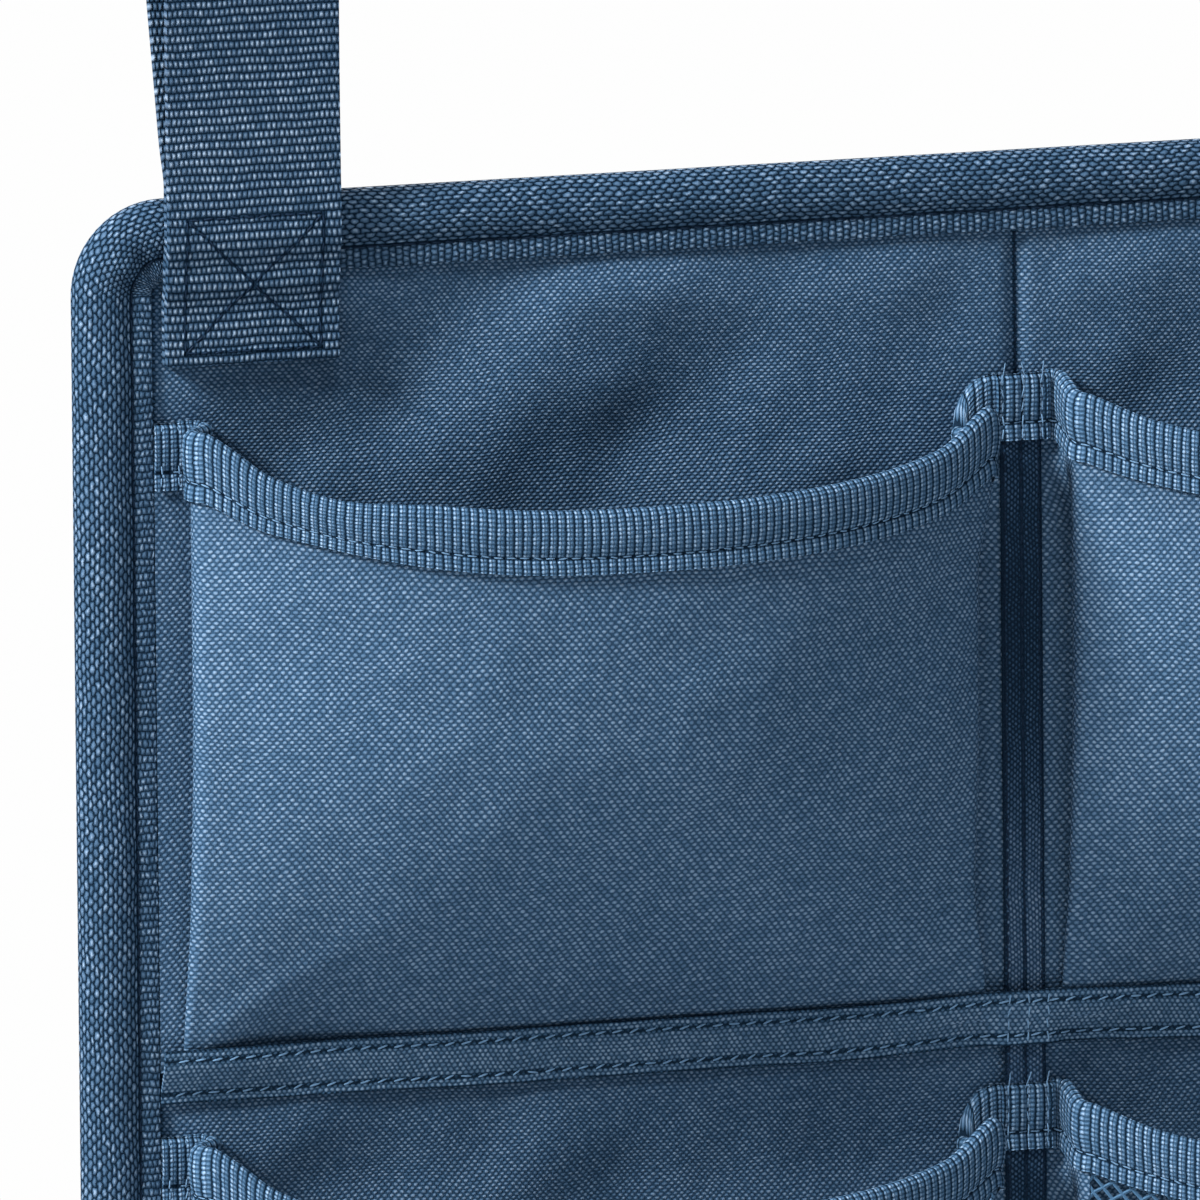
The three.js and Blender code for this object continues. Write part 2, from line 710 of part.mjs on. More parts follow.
// The loop leans back from the hinge, so that the crown's middle comes over the panel's middle plane
function strapLoop() {
  const distance = Math.hypot(STRAP_DEPTH, CROWN_RISE);
  const outer = teardrop(new THREE.Shape(), KNUCKLE_RADIUS, CROWN_RADIUS + WEBBING_THICKNESS, distance);
  outer.holes.push(teardrop(new THREE.Path(), LAYER_GAP / 2, CROWN_RADIUS, distance));
  const loop = webbing(outer);
  loop.rotateX(-Math.atan2(STRAP_DEPTH, CROWN_RISE));
  loop.translate(0, -STRAP_DEPTH, HINGE_RISE);
  return loop;
}

// Assembly

function piece(name, geometry, color) {
  const material = new THREE.MeshStandardMaterial({ color, roughness: CLOTH_ROUGHNESS, metalness: 0 });
  const mesh = new THREE.Mesh(geometry, material);
  mesh.name = name;
  return mesh;
}

const CLOTH_ROUGHNESS = 0.9;
const FABRIC_BLUE = 0x46638a;
const TAPE_BLUE = 0x4f6f96;
const WEBBING_BLUE = 0x3d5877;
const LINING_BLUE = 0x34496a;
const FOAM_GREY = 0xb9bdc2;
const SIDES = [
  { side: LEFT, sideName: "left" },
  { side: RIGHT, sideName: "right" },
];

const organizer = new THREE.Group();
const panel = new THREE.Group();
panel.position.z = -HANG_HEIGHT;
organizer.add(panel);

panel.add(piece("front_fabric", frontFabric(), FABRIC_BLUE));
panel.add(piece("foam_core", foamCore(), FOAM_GREY));
panel.add(piece("back_lining", backLining(), LINING_BLUE));
panel.add(piece("edge_binding", edgeBinding(), WEBBING_BLUE));
panel.add(piece("divider_tape", dividerTape(), TAPE_BLUE));

for (let row = 0; row < ROW_COUNT; row += 1) {
  const rowName = `row${row + 1}`;
  panel.add(piece(`${rowName}_hem`, pocketHem(row), TAPE_BLUE));
  panel.add(piece(`${rowName}_tape`, rowTape(row), TAPE_BLUE));
  for (const { side, sideName } of SIDES) {
    const pocketName = `${rowName}_${sideName}`;
    if (row === NET_ROW) {
      panel.add(piece(`${pocketName}_net`, pocketNet(side, row), FABRIC_BLUE));
      panel.add(piece(`${pocketName}_outer_pleat`, outerPleat(side, row), FABRIC_BLUE));
      panel.add(piece(`${pocketName}_inner_pleat`, innerPleat(side, row), FABRIC_BLUE));
    } else {
      panel.add(piece(`${pocketName}_pocket`, pocketFabric(side, row), FABRIC_BLUE));
    }
  }
}

for (const { side, sideName } of SIDES) {
  const strap = new THREE.Group();
  strap.position.x = side * STRAP_CENTRE;
  strap.add(piece(`${sideName}_strap_under_tab`, strapTab(0), WEBBING_BLUE));
  strap.add(piece(`${sideName}_strap_top_tab`, strapTab(1), WEBBING_BLUE));
  strap.add(piece(`${sideName}_strap_loop`, strapLoop(), WEBBING_BLUE));
  panel.add(strap);
}

export default organizer;
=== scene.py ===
import math
from typing import NamedTuple

import bpy
import numpy as np
from mathutils import Matrix


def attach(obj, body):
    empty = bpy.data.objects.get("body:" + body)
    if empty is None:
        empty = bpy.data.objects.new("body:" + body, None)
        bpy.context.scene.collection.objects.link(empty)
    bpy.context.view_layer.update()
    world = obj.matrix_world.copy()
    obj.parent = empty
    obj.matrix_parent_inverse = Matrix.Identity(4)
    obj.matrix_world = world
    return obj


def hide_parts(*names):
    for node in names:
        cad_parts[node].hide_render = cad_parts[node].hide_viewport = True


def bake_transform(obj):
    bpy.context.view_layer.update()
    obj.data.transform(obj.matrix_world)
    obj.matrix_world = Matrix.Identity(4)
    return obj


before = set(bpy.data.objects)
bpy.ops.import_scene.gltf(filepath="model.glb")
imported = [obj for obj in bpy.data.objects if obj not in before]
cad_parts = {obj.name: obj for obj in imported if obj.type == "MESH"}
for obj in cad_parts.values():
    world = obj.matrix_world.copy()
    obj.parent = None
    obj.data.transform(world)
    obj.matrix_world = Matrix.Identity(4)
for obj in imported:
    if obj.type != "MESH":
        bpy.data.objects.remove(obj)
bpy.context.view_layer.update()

# Sizes in millimetres, the same as in the part's source
MM = 0.001
PANEL_WIDTH = 418
CORNER_RADIUS = 20
FABRIC = 0.8
FOAM_SHEET = 1.5
FOAM_MIDDLE = -0.35
GAP = 0.3
ROLL_WIDTH = 12
ROLL_THICKNESS = 9.8
LIP_WIDTH = 4.5
TOP_MARGIN = 48
ROW_COUNT = 3
NET_ROW = 1
POCKET_HEIGHT = 133
ROW_TAPE_WIDTH = 11.8
ROW_GAP = 7.7
TUCK = 5
DIVIDER_WIDTH = 9
CORNER_BEND = 4
FOLD_BEND = 2.5
SIDE_DEPTH = 16.5
BELLY_DEPTH = 40
BELLY_POWER = 2.4
RIM_SAG = 15.5
SIDE_RISE = 0.65
SETTLE_RUN = 28
HEM_WIDTH = 15.5
HEM_BACK_WIDTH = 14.5
TAPE = 0.8
WEBBING_WIDTH = 38
WEBBING = 1.8
TAB_LENGTH = 35
STRAP_INSET = 2.5
CROWN_RADIUS = 12
HANG_HEIGHT = 125
CUT_INSET = 4
FOOT_MARGIN = 8

BINDING_WIDTH = ROLL_WIDTH + LIP_WIDTH
ROW_PITCH = POCKET_HEIGHT + ROW_TAPE_WIDTH + ROW_GAP
PANEL_HEIGHT = TOP_MARGIN + ROW_COUNT * ROW_PITCH - ROW_GAP + FOOT_MARGIN + BINDING_WIDTH
BAY_EDGE = PANEL_WIDTH / 2 - BINDING_WIDTH
BAY_WIDTH = BAY_EDGE - DIVIDER_WIDTH / 2
FACE_DEPTH = 2.3
LIP_DEPTH = 3.5
LAYER_PITCH = FABRIC + GAP
STRAP_CENTRE = BAY_EDGE - STRAP_INSET - WEBBING_WIDTH / 2
SIDES = {"left": -1, "right": 1}

# Sewing in millimetres: the box on the straps, along the webbing from the tab's foot and across it from its
# middle, the lines of stitches across the divider and below a row tape's top edge, and a line's dent
BOX_MIDDLE = 17.2
BOX_HALF_LONG = 14.6
BOX_HALF_WIDE = 15
DIVIDER_SEAM = 4.4
ROW_SEAMS = (2.2, 9.6)
SEAM_WIDTH = 0.7


# Helpers for curves and noise

def ease(t):
    t = np.clip(t, 0, 1)
    return t * t * (3 - 2 * t)


def between(start, end, share):
    return start + (end - start) * share


def hump(t):
    return np.sin(math.pi * np.clip(t, 0, 1))


def peak(value, place, width):
    """1 at a place, falling softly to 0 beside it."""
    return np.exp(-(((value - place) / width) ** 2))


def ripples(x, z, seed, wave, count=14, along=None, spread=0.5):
    """Soft waves of about that wavelength, between -1 and 1, with crests mostly across the angle `along`."""
    rng = np.random.default_rng(seed)
    total = np.zeros(np.broadcast(x, z).shape)
    for _ in range(count):
        angle = rng.uniform(0, math.pi) if along is None else rng.normal(along, spread)
        length = wave * rng.uniform(0.7, 1.6)
        phase = rng.uniform(0, 2 * math.pi)
        total = total + np.sin(2 * math.pi * (x * math.cos(angle) + z * math.sin(angle)) / length + phase)
    return total / (0.5 * count) ** 0.5 / 2


def waves(run, seed, wave):
    """Soft waves along one length."""
    return ripples(run, 0 * run, seed, wave, along=0.0, spread=0.1)


def run_along(*coordinates):
    """Length along a line up to each of its points."""
    steps = np.sqrt(sum(np.diff(values) ** 2 for values in coordinates))
    return np.concatenate([[0], np.cumsum(steps)])


def pairs(u, v):
    """Every pair of a length along and a length across, as a grid."""
    return np.stack(np.meshgrid(u, v, indexing="ij"), axis=-1)


def layer_depth(layers):
    """Depth of the middle of a layer in front of the panel, with that many layers behind it."""
    return FACE_DEPTH + GAP + FABRIC / 2 + layers * LAYER_PITCH


def hem_top(row):
    return -TOP_MARGIN - row * ROW_PITCH


def tape_top(row):
    return hem_top(row) - POCKET_HEIGHT


def belly(across):
    """1 in the middle of a pocket, falling to 0 at its sides."""
    return 1 - np.abs(across) ** BELLY_POWER


def rim_height(row, across):
    return hem_top(row) - RIM_SAG * belly(across)


def place(x, depth, z):
    """Points in millimetres beside the panel, as an array in the row frame."""
    x, depth, z = np.broadcast_arrays(np.asarray(x, float), depth, z)
    return np.stack([x, -depth, z - HANG_HEIGHT], axis=-1)


# Meshes

def mesh_object(name, points, faces, uv, material):
    mesh = bpy.data.meshes.new(name)
    mesh.vertices.add(len(points))
    mesh.vertices.foreach_set("co", (np.asarray(points) * MM).astype(np.float32).ravel())
    faces = np.asarray(faces, np.int32)
    size = faces.shape[1]
    mesh.loops.add(faces.size)
    mesh.loops.foreach_set("vertex_index", faces.ravel())
    mesh.polygons.add(len(faces))
    mesh.polygons.foreach_set("loop_start", np.arange(0, faces.size, size, dtype=np.int32))
    mesh.update(calc_edges=True)
    layer = mesh.uv_layers.new(name="UVMap")
    layer.data.foreach_set("uv", np.asarray(uv, np.float32)[faces.ravel()].ravel())
    mesh.polygons.foreach_set("use_smooth", np.ones(len(faces), bool))
    mesh.set_sharp_from_angle(angle=math.radians(55))
    mesh.materials.append(material)
    mesh.validate()
    made = bpy.data.objects.new(name, mesh)
    bpy.context.scene.collection.objects.link(made)
    return made


class Cloth:
    """A grid of points for the middle of a cloth, its thickness, and its lengths along and across in mm. At the
    grid's place `probe` its outer face looks `towards` that direction."""

    def __init__(self, grid, thickness, uv, probe, towards=(0, -1, 0)):
        self.grid, self.thickness, self.uv = grid, thickness, uv
        across = np.cross(np.gradient(grid, axis=0), np.gradient(grid, axis=1))
        normals = across / np.maximum(np.linalg.norm(across, axis=2, keepdims=True), 1e-9)
        self.flip = normals[probe] @ np.array(towards) < 0
        self.normals = -normals if self.flip else normals

    def build(self, name, material):
        rows, columns = self.grid.shape[:2]
        outer = self.grid + self.normals * self.thickness / 2
        inner = self.grid - self.normals * self.thickness / 2
        count = rows * columns
        index = np.arange(count).reshape(rows, columns)
        a, b, c, d = index[:-1, :-1], index[:-1, 1:], index[1:, 1:], index[1:, :-1]
        front = np.stack([a, d, c, b], axis=-1).reshape(-1, 4)
        faces = [front, front[:, ::-1] + count]
        for rim in (index[0, :], index[:, -1], index[-1, ::-1], index[::-1, 0]):
            faces.append(np.stack([rim[:-1], rim[1:], rim[1:] + count, rim[:-1] + count], axis=-1))
        faces = np.concatenate(faces)
        if self.flip:
            faces = faces[:, ::-1]
        points = np.concatenate([outer.reshape(-1, 3), inner.reshape(-1, 3)])
        uv = np.concatenate([self.uv.reshape(-1, 2)] * 2)
        return mesh_object(name, points, faces, uv, material)

    def at(self, row, column, lift=0.0):
        """Points and normals on the outer face at fractional grid places."""
        rows, columns = self.grid.shape[:2]
        row, column = np.broadcast_arrays(np.asarray(row, float), column)
        i = np.clip(np.floor(row).astype(int), 0, rows - 2)
        j = np.clip(np.floor(column).astype(int), 0, columns - 2)
        s, t = (row - i)[..., None], (column - j)[..., None]

        def sample(field):
            top = field[i, j] * (1 - t) + field[i, j + 1] * t
            low = field[i + 1, j] * (1 - t) + field[i + 1, j + 1] * t
            return top * (1 - s) + low * s

        normal = sample(self.normals)
        normal /= np.linalg.norm(normal, axis=-1, keepdims=True)
        return sample(self.grid) + normal * (self.thickness / 2 + lift), normal


STITCH_WOBBLE, STITCH_DRIFT = 0.12, 0.06
STITCH_PROFILE = [(-1.0, 0.35), (-0.82, 0.85), (-0.4, 1.0), (0.4, 1.0), (0.82, 0.85), (1.0, 0.35)]
STITCH_SPOKES = 6
STITCH_BOW, STITCH_SINK = 0.12, 0.1
STITCH_LIFT = 0.05


class Thread:
    """Collects stitches along lines on cloth, and builds them as one piece."""

    def __init__(self, seed):
        self.places = []
        self.rng = np.random.default_rng(seed)

    def along(self, points, normals, pitch=2.7, fill=0.74, slant=0.0, radius=0.21):
        """Stitches along a line: one each pitch, and each as long as the fill's share of it."""
        length = run_along(*points.T)
        count = max(1, int(length[-1] / pitch))
        spots = (np.arange(count) + 0.5) * length[-1] / count
        half = 0.5 * fill * length[-1] / count

        def sample(at, field):
            return np.stack([np.interp(at, length, field[:, k]) for k in range(3)], axis=-1)

        start = sample(spots - half, points)
        end = sample(spots + half, points)
        normal = sample(spots, normals)
        normal /= np.linalg.norm(normal, axis=1, keepdims=True)
        middle = (start + end) / 2
        size = np.linalg.norm(end - start, axis=1, keepdims=True)
        way = (end - start) / np.maximum(size, 1e-9)
        side = np.cross(normal, way)
        angle = slant + self.rng.normal(0, STITCH_WOBBLE, (count, 1))
        turned = way * np.cos(angle) + side * np.sin(angle)
        middle = middle + side * self.rng.normal(0, STITCH_DRIFT, (count, 1))
        self.places.append((middle, turned, normal, size[:, 0], np.full(count, radius)))

    def straight(self, x, depth, z, facing=-1.0, **stitch):
        """Stitches along points in front of the panel, or behind it where facing is 1."""
        points = place(x, depth, z)
        self.along(points, np.tile([0, facing, 0], (len(points), 1)), **stitch)

    def column(self, cloth, column, skip=0, **stitch):
        """Stitches along one column of a cloth's grid."""
        rows = np.arange(skip, cloth.grid.shape[0] - skip, dtype=float)
        self.along(*cloth.at(rows, np.full(len(rows), column), STITCH_LIFT), **stitch)

    def build(self, name, material):
        middle, way, normal, size, radius = (np.concatenate(part) for part in zip(*self.places))
        side = np.cross(normal, way)
        rings = []
        for reach, girth in STITCH_PROFILE:
            bow = STITCH_BOW * (1 - reach**2) - STITCH_SINK
            for k in range(STITCH_SPOKES):
                turn = 2 * math.pi * k / STITCH_SPOKES
                offset = side * math.cos(turn) + normal * 0.8 * math.sin(turn)
                rings.append(middle + way * (reach * size / 2)[:, None] + normal * bow
                             + offset * (girth * radius)[:, None])
        points = np.stack(rings, axis=1)
        count, per = points.shape[:2]
        a = np.arange(per - STITCH_SPOKES)
        b = a + 1 - STITCH_SPOKES * (a % STITCH_SPOKES == STITCH_SPOKES - 1)
        sides = np.stack([a, b, b + STITCH_SPOKES, a + STITCH_SPOKES], axis=-1)
        last = per - STITCH_SPOKES + np.array([(0, 1, 2, 3), (0, 3, 4, 5)])
        template = np.concatenate([sides, [(0, 3, 2, 1), (0, 5, 4, 3)], last])
        faces = (template + per * np.arange(count)[:, None, None]).reshape(-1, 4)
        uv = np.stack([np.tile(np.linspace(0, 3, per), count), np.repeat(np.arange(count), per)], axis=-1)
        return mesh_object(name, points.reshape(-1, 3), faces, uv, material)


# Materials

def linear(*channels):
    """A linear colour from its sRGB channels of 0 to 255."""
    shares = np.array(channels) / 255
    return np.append(np.where(shares <= 0.04045, shares / 12.92, ((shares + 0.055) / 1.055) ** 2.4), 1)


COOL_SHINE = (0.7, 0.86, 1, 1)


class Graph:
    """Short forms for shader nodes."""

    def __init__(self, owner, shader="Principled BSDF"):
        owner.use_nodes = True
        self.owner = owner
        self.nodes = owner.node_tree.nodes
        self.links = owner.node_tree.links
        self.shader = self.nodes[shader]

    def put(self, socket, value):
        if isinstance(value, bpy.types.NodeSocket):
            self.links.new(value, socket)
        else:
            socket.default_value = value

    def node(self, kind, **inputs):
        made = self.nodes.new("ShaderNode" + kind)
        for name, value in inputs.items():
            self.put(made.inputs[name], value)
        return made

    def math(self, kind, *values):
        node = self.node("Math")
        node.operation = kind
        for socket, value in zip(node.inputs, values):
            self.put(socket, value)
        return node.outputs[0]

    def mul(self, a, b):
        return self.math("MULTIPLY", a, b)

    def add(self, a, b):
        return self.math("ADD", a, b)

    def sub(self, a, b):
        return self.math("SUBTRACT", a, b)

    def mad(self, a, b, c):
        return self.math("MULTIPLY_ADD", a, b, c)

    def bulge(self, value, power):
        """The value where it is above 0, raised to a power that rounds or sharpens it."""
        return self.math("POWER", self.math("MAXIMUM", value, 0.0), power)

    def wave(self, value, pitch, phase=0.0):
        """A cosine from 0 to 1 with that pitch."""
        turn = self.mad(value, 2 * math.pi / pitch, phase)
        return self.mad(self.math("COSINE", turn), 0.5, 0.5)

    def noise(self, vector, scale, detail=2.0, rough=0.5):
        return self.node("TexNoise", Vector=vector, Scale=scale, Detail=detail, Roughness=rough).outputs["Fac"]

    def uv(self):
        node = self.node("UVMap")
        node.uv_map = "UVMap"
        return node.outputs["UV"]

    def split(self, vector):
        return self.node("SeparateXYZ", Vector=vector).outputs[:2]

    def cell(self, x, y):
        """A random value for each whole-numbered cell."""
        corner = self.node("CombineXYZ", X=self.math("FLOOR", x), Y=self.math("FLOOR", y))
        node = self.node("TexWhiteNoise", Vector=corner.outputs[0])
        node.noise_dimensions = "2D"
        return node.outputs["Value"]

    def ramp(self, factor, *stops):
        node = self.node("ValToRGB", Fac=factor)
        elements = node.color_ramp.elements
        for k, (position, colour) in enumerate(stops):
            element = elements[k] if k < 2 else elements.new(position)
            element.position = position
            element.color = colour
        return node.outputs["Color"]

    def near(self, value, place, width):
        """1 at a place, falling to 0 at that distance from it."""
        away = self.math("ABSOLUTE", self.sub(value, place))
        return self.sub(1.0, self.mul(away, 1 / width))

    def round_top(self, value):
        """A round bump for each whole number of the value, with sharp grooves halfway between them."""
        off = self.sub(self.math("FRACT", self.add(value, 0.5)), 0.5)
        square = self.mul(self.mul(off, off), 4.0)
        return self.bulge(self.sub(1.0, square), 0.7)

    def finish(self, height, distance, colour, roughness, gloss=0.06):
        bump = self.node("Bump", Height=height, Distance=distance * MM)
        looks = {"Normal": bump.outputs["Normal"], "Base Color": colour, "Roughness": roughness,
                 "Specular IOR Level": gloss, "Specular Tint": COOL_SHINE}
        for name, value in looks.items():
            self.put(self.shader.inputs[name], value)
        return self.owner


def scaled(colour, factor):
    return np.append(np.minimum(colour[:3] * factor, 1), 1)


def cloth_graph(name, slow, fast):
    """A material, with a cloth's lengths along and across bent by the yarns' slow drift and unevenness."""
    g = Graph(bpy.data.materials.new(name))
    uv = g.uv()
    u, v = g.split(uv)
    u = g.mad(g.noise(uv, 0.08, 1.0), slow, u)
    v = g.mad(g.noise(uv, 0.06, 1.0), slow, v)
    u = g.mad(g.noise(uv, 0.7, 1.0), fast, u)
    v = g.mad(g.noise(uv, 0.6, 1.0), fast, v)
    return g, uv, u, v


def seeded(g, u, v, long, wide, half_long, half_wide):
    """Oval dots of yarn in staggered columns along a cloth, and a random value for each dot."""
    column = g.math("FLOOR", g.mul(v, 1 / wide))
    along = g.mad(u, 1 / long, g.mul(column, 0.5))
    reach = 1.0
    for place, half in ((along, half_long), (g.mul(v, 1 / wide), half_wide)):
        off = g.mad(g.math("FRACT", place), 1 / half, -0.5 / half)
        reach = g.sub(reach, g.mul(off, off))
    return g.bulge(reach, 0.6), g.cell(column, along)


def beaded(g, u, v, pitch, bead):
    """Ribs across the length, each a row of beads, and a random value for each bead."""
    along = g.mad(v, 1 / bead, g.mul(g.math("FLOOR", g.mad(u, 1 / pitch, 0.5)), 0.5))
    rib = g.round_top(g.mul(u, 1 / pitch))
    beads = g.round_top(along)
    form = g.mul(rib, g.mad(beads, 0.8, 0.2))
    return form, g.cell(g.mad(u, 1 / pitch, 0.5), g.add(along, 0.5))


# A pale colour for the painted highlight on the yarns' tops, and a deep navy for the painted shade in the
# grooves between them
PAINTED_HIGHLIGHT = linear(172, 188, 204)
PAINTED_GROOVE_SHADE = linear(8, 20, 34)

# How far single fibres, clouds in the cloth and its marks, sewn seams and painted shade, change its shade from
# 0 in the grooves to 1
FIBRE_SHADE, CLOUD_SHADE, MARK_SHADE = 0.35, 0.12, -0.75

# The cloth's colour times these is the colour in the grooves, which is painted shade, low and high on the
# yarns, and on their tops, where it is a painted highlight
GROOVE_TONE, LOW_TONE, HIGH_TONE, TOP_TONE = 0.42, 0.95, 1.42, 1.85


def yarn_look(g, uv, form, yarn, colour, depth, uneven, marks, crisp):
    """A cloth's shader: painted shade between the yarns, dark at its marks, and a painted highlight on the
    yarns' tops. With crisp up to 1 the yarns stand out more and shine more."""
    fibre = g.noise(uv, 2.2, 3.0, 0.7)
    cloudy = g.noise(uv, 0.03, 2.0)
    shade = g.mul(form, g.mad(yarn, uneven, 0.9 - uneven / 2))
    shade = g.mad(g.sub(fibre, 0.5), FIBRE_SHADE, shade)
    shade = g.mad(g.sub(cloudy, 0.5), CLOUD_SHADE, shade)
    for mark in marks:
        shade = g.mad(g.math("MAXIMUM", mark, 0.0), MARK_SHADE, shade)
    # Painted shade in the grooves, and a painted highlight on the yarns' tops
    groove = between(scaled(colour, GROOVE_TONE), PAINTED_GROOVE_SHADE, 0.35 + 0.45 * crisp)
    low = scaled(colour, LOW_TONE - 0.15 * crisp)
    high, top = scaled(colour, HIGH_TONE), scaled(colour, TOP_TONE + 0.5 * crisp)
    tone = g.ramp(shade, (0.08, groove), (0.42, low), (0.74, between(high, PAINTED_HIGHLIGHT, 0.05)),
                  (1.0, between(top, PAINTED_HIGHLIGHT, 0.22 + 0.16 * crisp)))
    height = g.mad(fibre, 0.16, g.mul(form, g.mad(yarn, 0.3, 0.85)))
    rough = g.mad(fibre, 0.25, 0.45 - 0.12 * crisp)
    gloss = g.mul(g.bulge(shade, 3.0), 0.12 + 0.28 * crisp)
    return g.finish(height, depth, tone, rough, gloss)


def seam_and_shade_marks(g, v, seams):
    return [g.near(v, place, width) for place, width in seams]


def woven(name, colour, long=1.45, wide=0.74, half_long=0.38, ground=0.38, depth=0.45, seams=(), crossing=(),
          crisp=0.0, painted_shade=()):
    """Plain cloth with dots of yarn; seams and crossings are dark lines, at sewn seams and as painted shade
    beside raised edges, and the painted shade between pockets darkens a part of each row.
    """
    g, uv, u, v = cloth_graph(name, 2.0, 0.3)
    dots, yarn = seeded(g, u, v, long, wide, half_long, 0.54)
    form = g.mad(dots, 1 - ground, ground)
    along, across = g.split(uv)
    marks = seam_and_shade_marks(g, across, seams) + seam_and_shade_marks(g, along, crossing)
    # Painted shade between two pockets: a cosine with the row pitch darkens the cloth most at `middle`, by
    # `amount`
    if painted_shade:
        middle, amount = painted_shade
        marks.append(g.mul(g.wave(along, ROW_PITCH, -2 * math.pi * middle / ROW_PITCH), amount))
    return yarn_look(g, uv, form, yarn, colour, depth, 0.25, marks, crisp)


def box_and_cross(g, u, v):
    """Marks for a sewn box with both diagonals, on a strap's lengths along and across."""
    along = g.sub(u, BOX_MIDDLE)
    slant = g.mul(along, BOX_HALF_WIDE / BOX_HALF_LONG)
    from_end, from_side = g.math("ABSOLUTE", along), g.math("ABSOLUTE", v)
    inside = g.mul(g.math("LESS_THAN", from_end, BOX_HALF_LONG + 0.4),
                   g.math("LESS_THAN", from_side, BOX_HALF_WIDE + 0.4))
    lines = (g.near(g.sub(v, slant), 0.0, 0.7), g.near(g.add(v, slant), 0.0, 0.7),
             g.near(from_end, BOX_HALF_LONG, 0.55), g.near(from_side, BOX_HALF_WIDE, 0.55))
    return [g.mul(g.math("MAXIMUM", line, 0.0), inside) for line in lines]


def ribbed(name, colour, pitch=1.78, bead=1.13, depth=0.7):
    g, uv, u, v = cloth_graph(name, 0.9, 0.45)
    form, yarn = beaded(g, u, v, pitch, bead)
    marks = box_and_cross(g, *g.split(uv))
    return yarn_look(g, uv, form, yarn, colour, depth, 0.25, marks, crisp=0.85)


def rolled(name, colour, lip, width, depth=0.75):
    """Binding tape: staggered seeds of yarn on the roll, rows of beads on the flat lips."""
    g, uv, u, v = cloth_graph(name, 1.4, 0.85)
    seeds, seed_yarn = seeded(g, u, v, 2.3, 0.98, 0.5, 0.58)
    beads, bead_yarn = beaded(g, u, v, 1.55, 1.1)
    exact = g.split(uv)[1]
    from_middle = g.math("ABSOLUTE", g.sub(exact, width / 2))
    on_lip = g.math("GREATER_THAN", from_middle, width / 2 - lip)

    def either(on_roll, flat):
        return g.mad(g.sub(flat, on_roll), on_lip, on_roll)

    marks = seam_and_shade_marks(g, exact, ((lip, 0.7), (width - lip, 0.7)))
    # The flat lips' beads get a small lift in brightness (0.06): painted light on the front-facing lips
    form = either(g.mul(seeds, 0.85), g.mad(beads, 0.82, 0.06))
    return yarn_look(g, uv, form, either(seed_yarn, bead_yarn), colour, depth, 0.35, marks, crisp=0.75)


def corded(name, colour, pitch=1.85, bead=1.03, depth=0.7, seams=()):
    """Hem tape: cords across the length, each with a string of round beads beside its smooth body."""
    g, uv, u, v = cloth_graph(name, 0.8, 0.35)
    cord = g.mul(u, 1 / pitch)
    side = g.sub(g.math("FRACT", cord), 0.5)
    turn = g.sub(g.math("FRACT", g.mul(v, 1 / bead)), 0.5)

    def squared(value, middle, half):
        off = g.mad(value, 1 / half, -middle / half)
        return g.mul(off, off)

    reach = g.add(squared(side, -0.2, 0.27), squared(turn, 0.0, 0.6))
    string = g.bulge(g.sub(1.0, reach), 0.5)
    body = g.bulge(g.sub(1.0, squared(side, 0.16, 0.31)), 0.6)
    body = g.mul(body, g.mad(g.wave(v, bead, math.pi), 0.34, 0.44))
    form = g.math("MAXIMUM", string, body)
    yarn = g.cell(cord, g.mul(v, 1 / bead))
    return yarn_look(g, uv, form, yarn, colour, depth, 0.22, seam_and_shade_marks(g, g.split(uv)[1], seams), crisp=0.8)


def plain(name, colour, rough=0.7):
    g = Graph(bpy.data.materials.new(name))
    grain = g.noise(g.uv(), 1.5, 3.0, 0.6)
    tone = g.ramp(grain, (0.0, scaled(colour, 0.75)), (1.0, scaled(colour, 1.25)))
    return g.finish(grain, 0.08, tone, rough)


# The dark lines at the bays' outer edges are painted shade beside the binding's lip; the one in the middle is
# the valley's seam
OXFORD = woven("oxford", linear(36, 61, 86), crossing=((-BAY_EDGE, 1.4), (-0.2, 0.8), (BAY_EDGE, 1.4)))
POCKET = woven("pocket_oxford", linear(40, 65, 90), long=1.6, wide=0.86)
LINING = woven("lining_cloth", linear(38, 58, 80), depth=0.2)
BINDING = rolled("binding_tape", linear(37, 61, 85), lip=4.6, width=38.0)
# The divider's last argument is painted shade in the slot between the pockets, darkest 50 mm below each hem's
# top
DIVIDER = woven("divider_tape", linear(34, 56, 80), long=1.2, wide=0.7,
                seams=((-4.3, 0.7), (0.0, 0.7), (4.3, 0.7)), painted_shade=(-98.0, 0.66))
HEM = corded("hem_tape", linear(45, 73, 100), seams=((4.1, 0.8),))
# The dark lines at 0 and 11.8 mm are painted shade along the tape's edges; those at 2.2 and 9.6 mm are its
# seams
ROW_TAPE = woven("row_tape_cloth", linear(40, 66, 91), long=1.25, wide=0.85, half_long=0.42, crisp=0.3,
                 seams=((0.0, 0.5), (2.2, 0.8), (9.6, 0.8), (11.8, 0.5)))
WEB = ribbed("webbing", linear(30, 53, 76))
NET = plain("net_yarn", linear(54, 84, 112), rough=0.6)
THREAD = plain("thread", linear(16, 30, 48), rough=0.55)
PALE_THREAD = plain("pale_thread", linear(84, 114, 144), rough=0.5)
FOAM = plain("foam", linear(186, 190, 195))


def settle(obj, slot_name, *nodes):
    """Puts a piece on the panel, in the place of those nodes, which it hides. The slot name is not used."""
    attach(obj, "panel")
    if nodes:
        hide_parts(*nodes)
    return obj


# Panel

def free_of(value, low, high, run):
    """1 well inside a span, falling to 0 at its ends."""
    return ease((value - low) / run) * ease((high - value) / run)


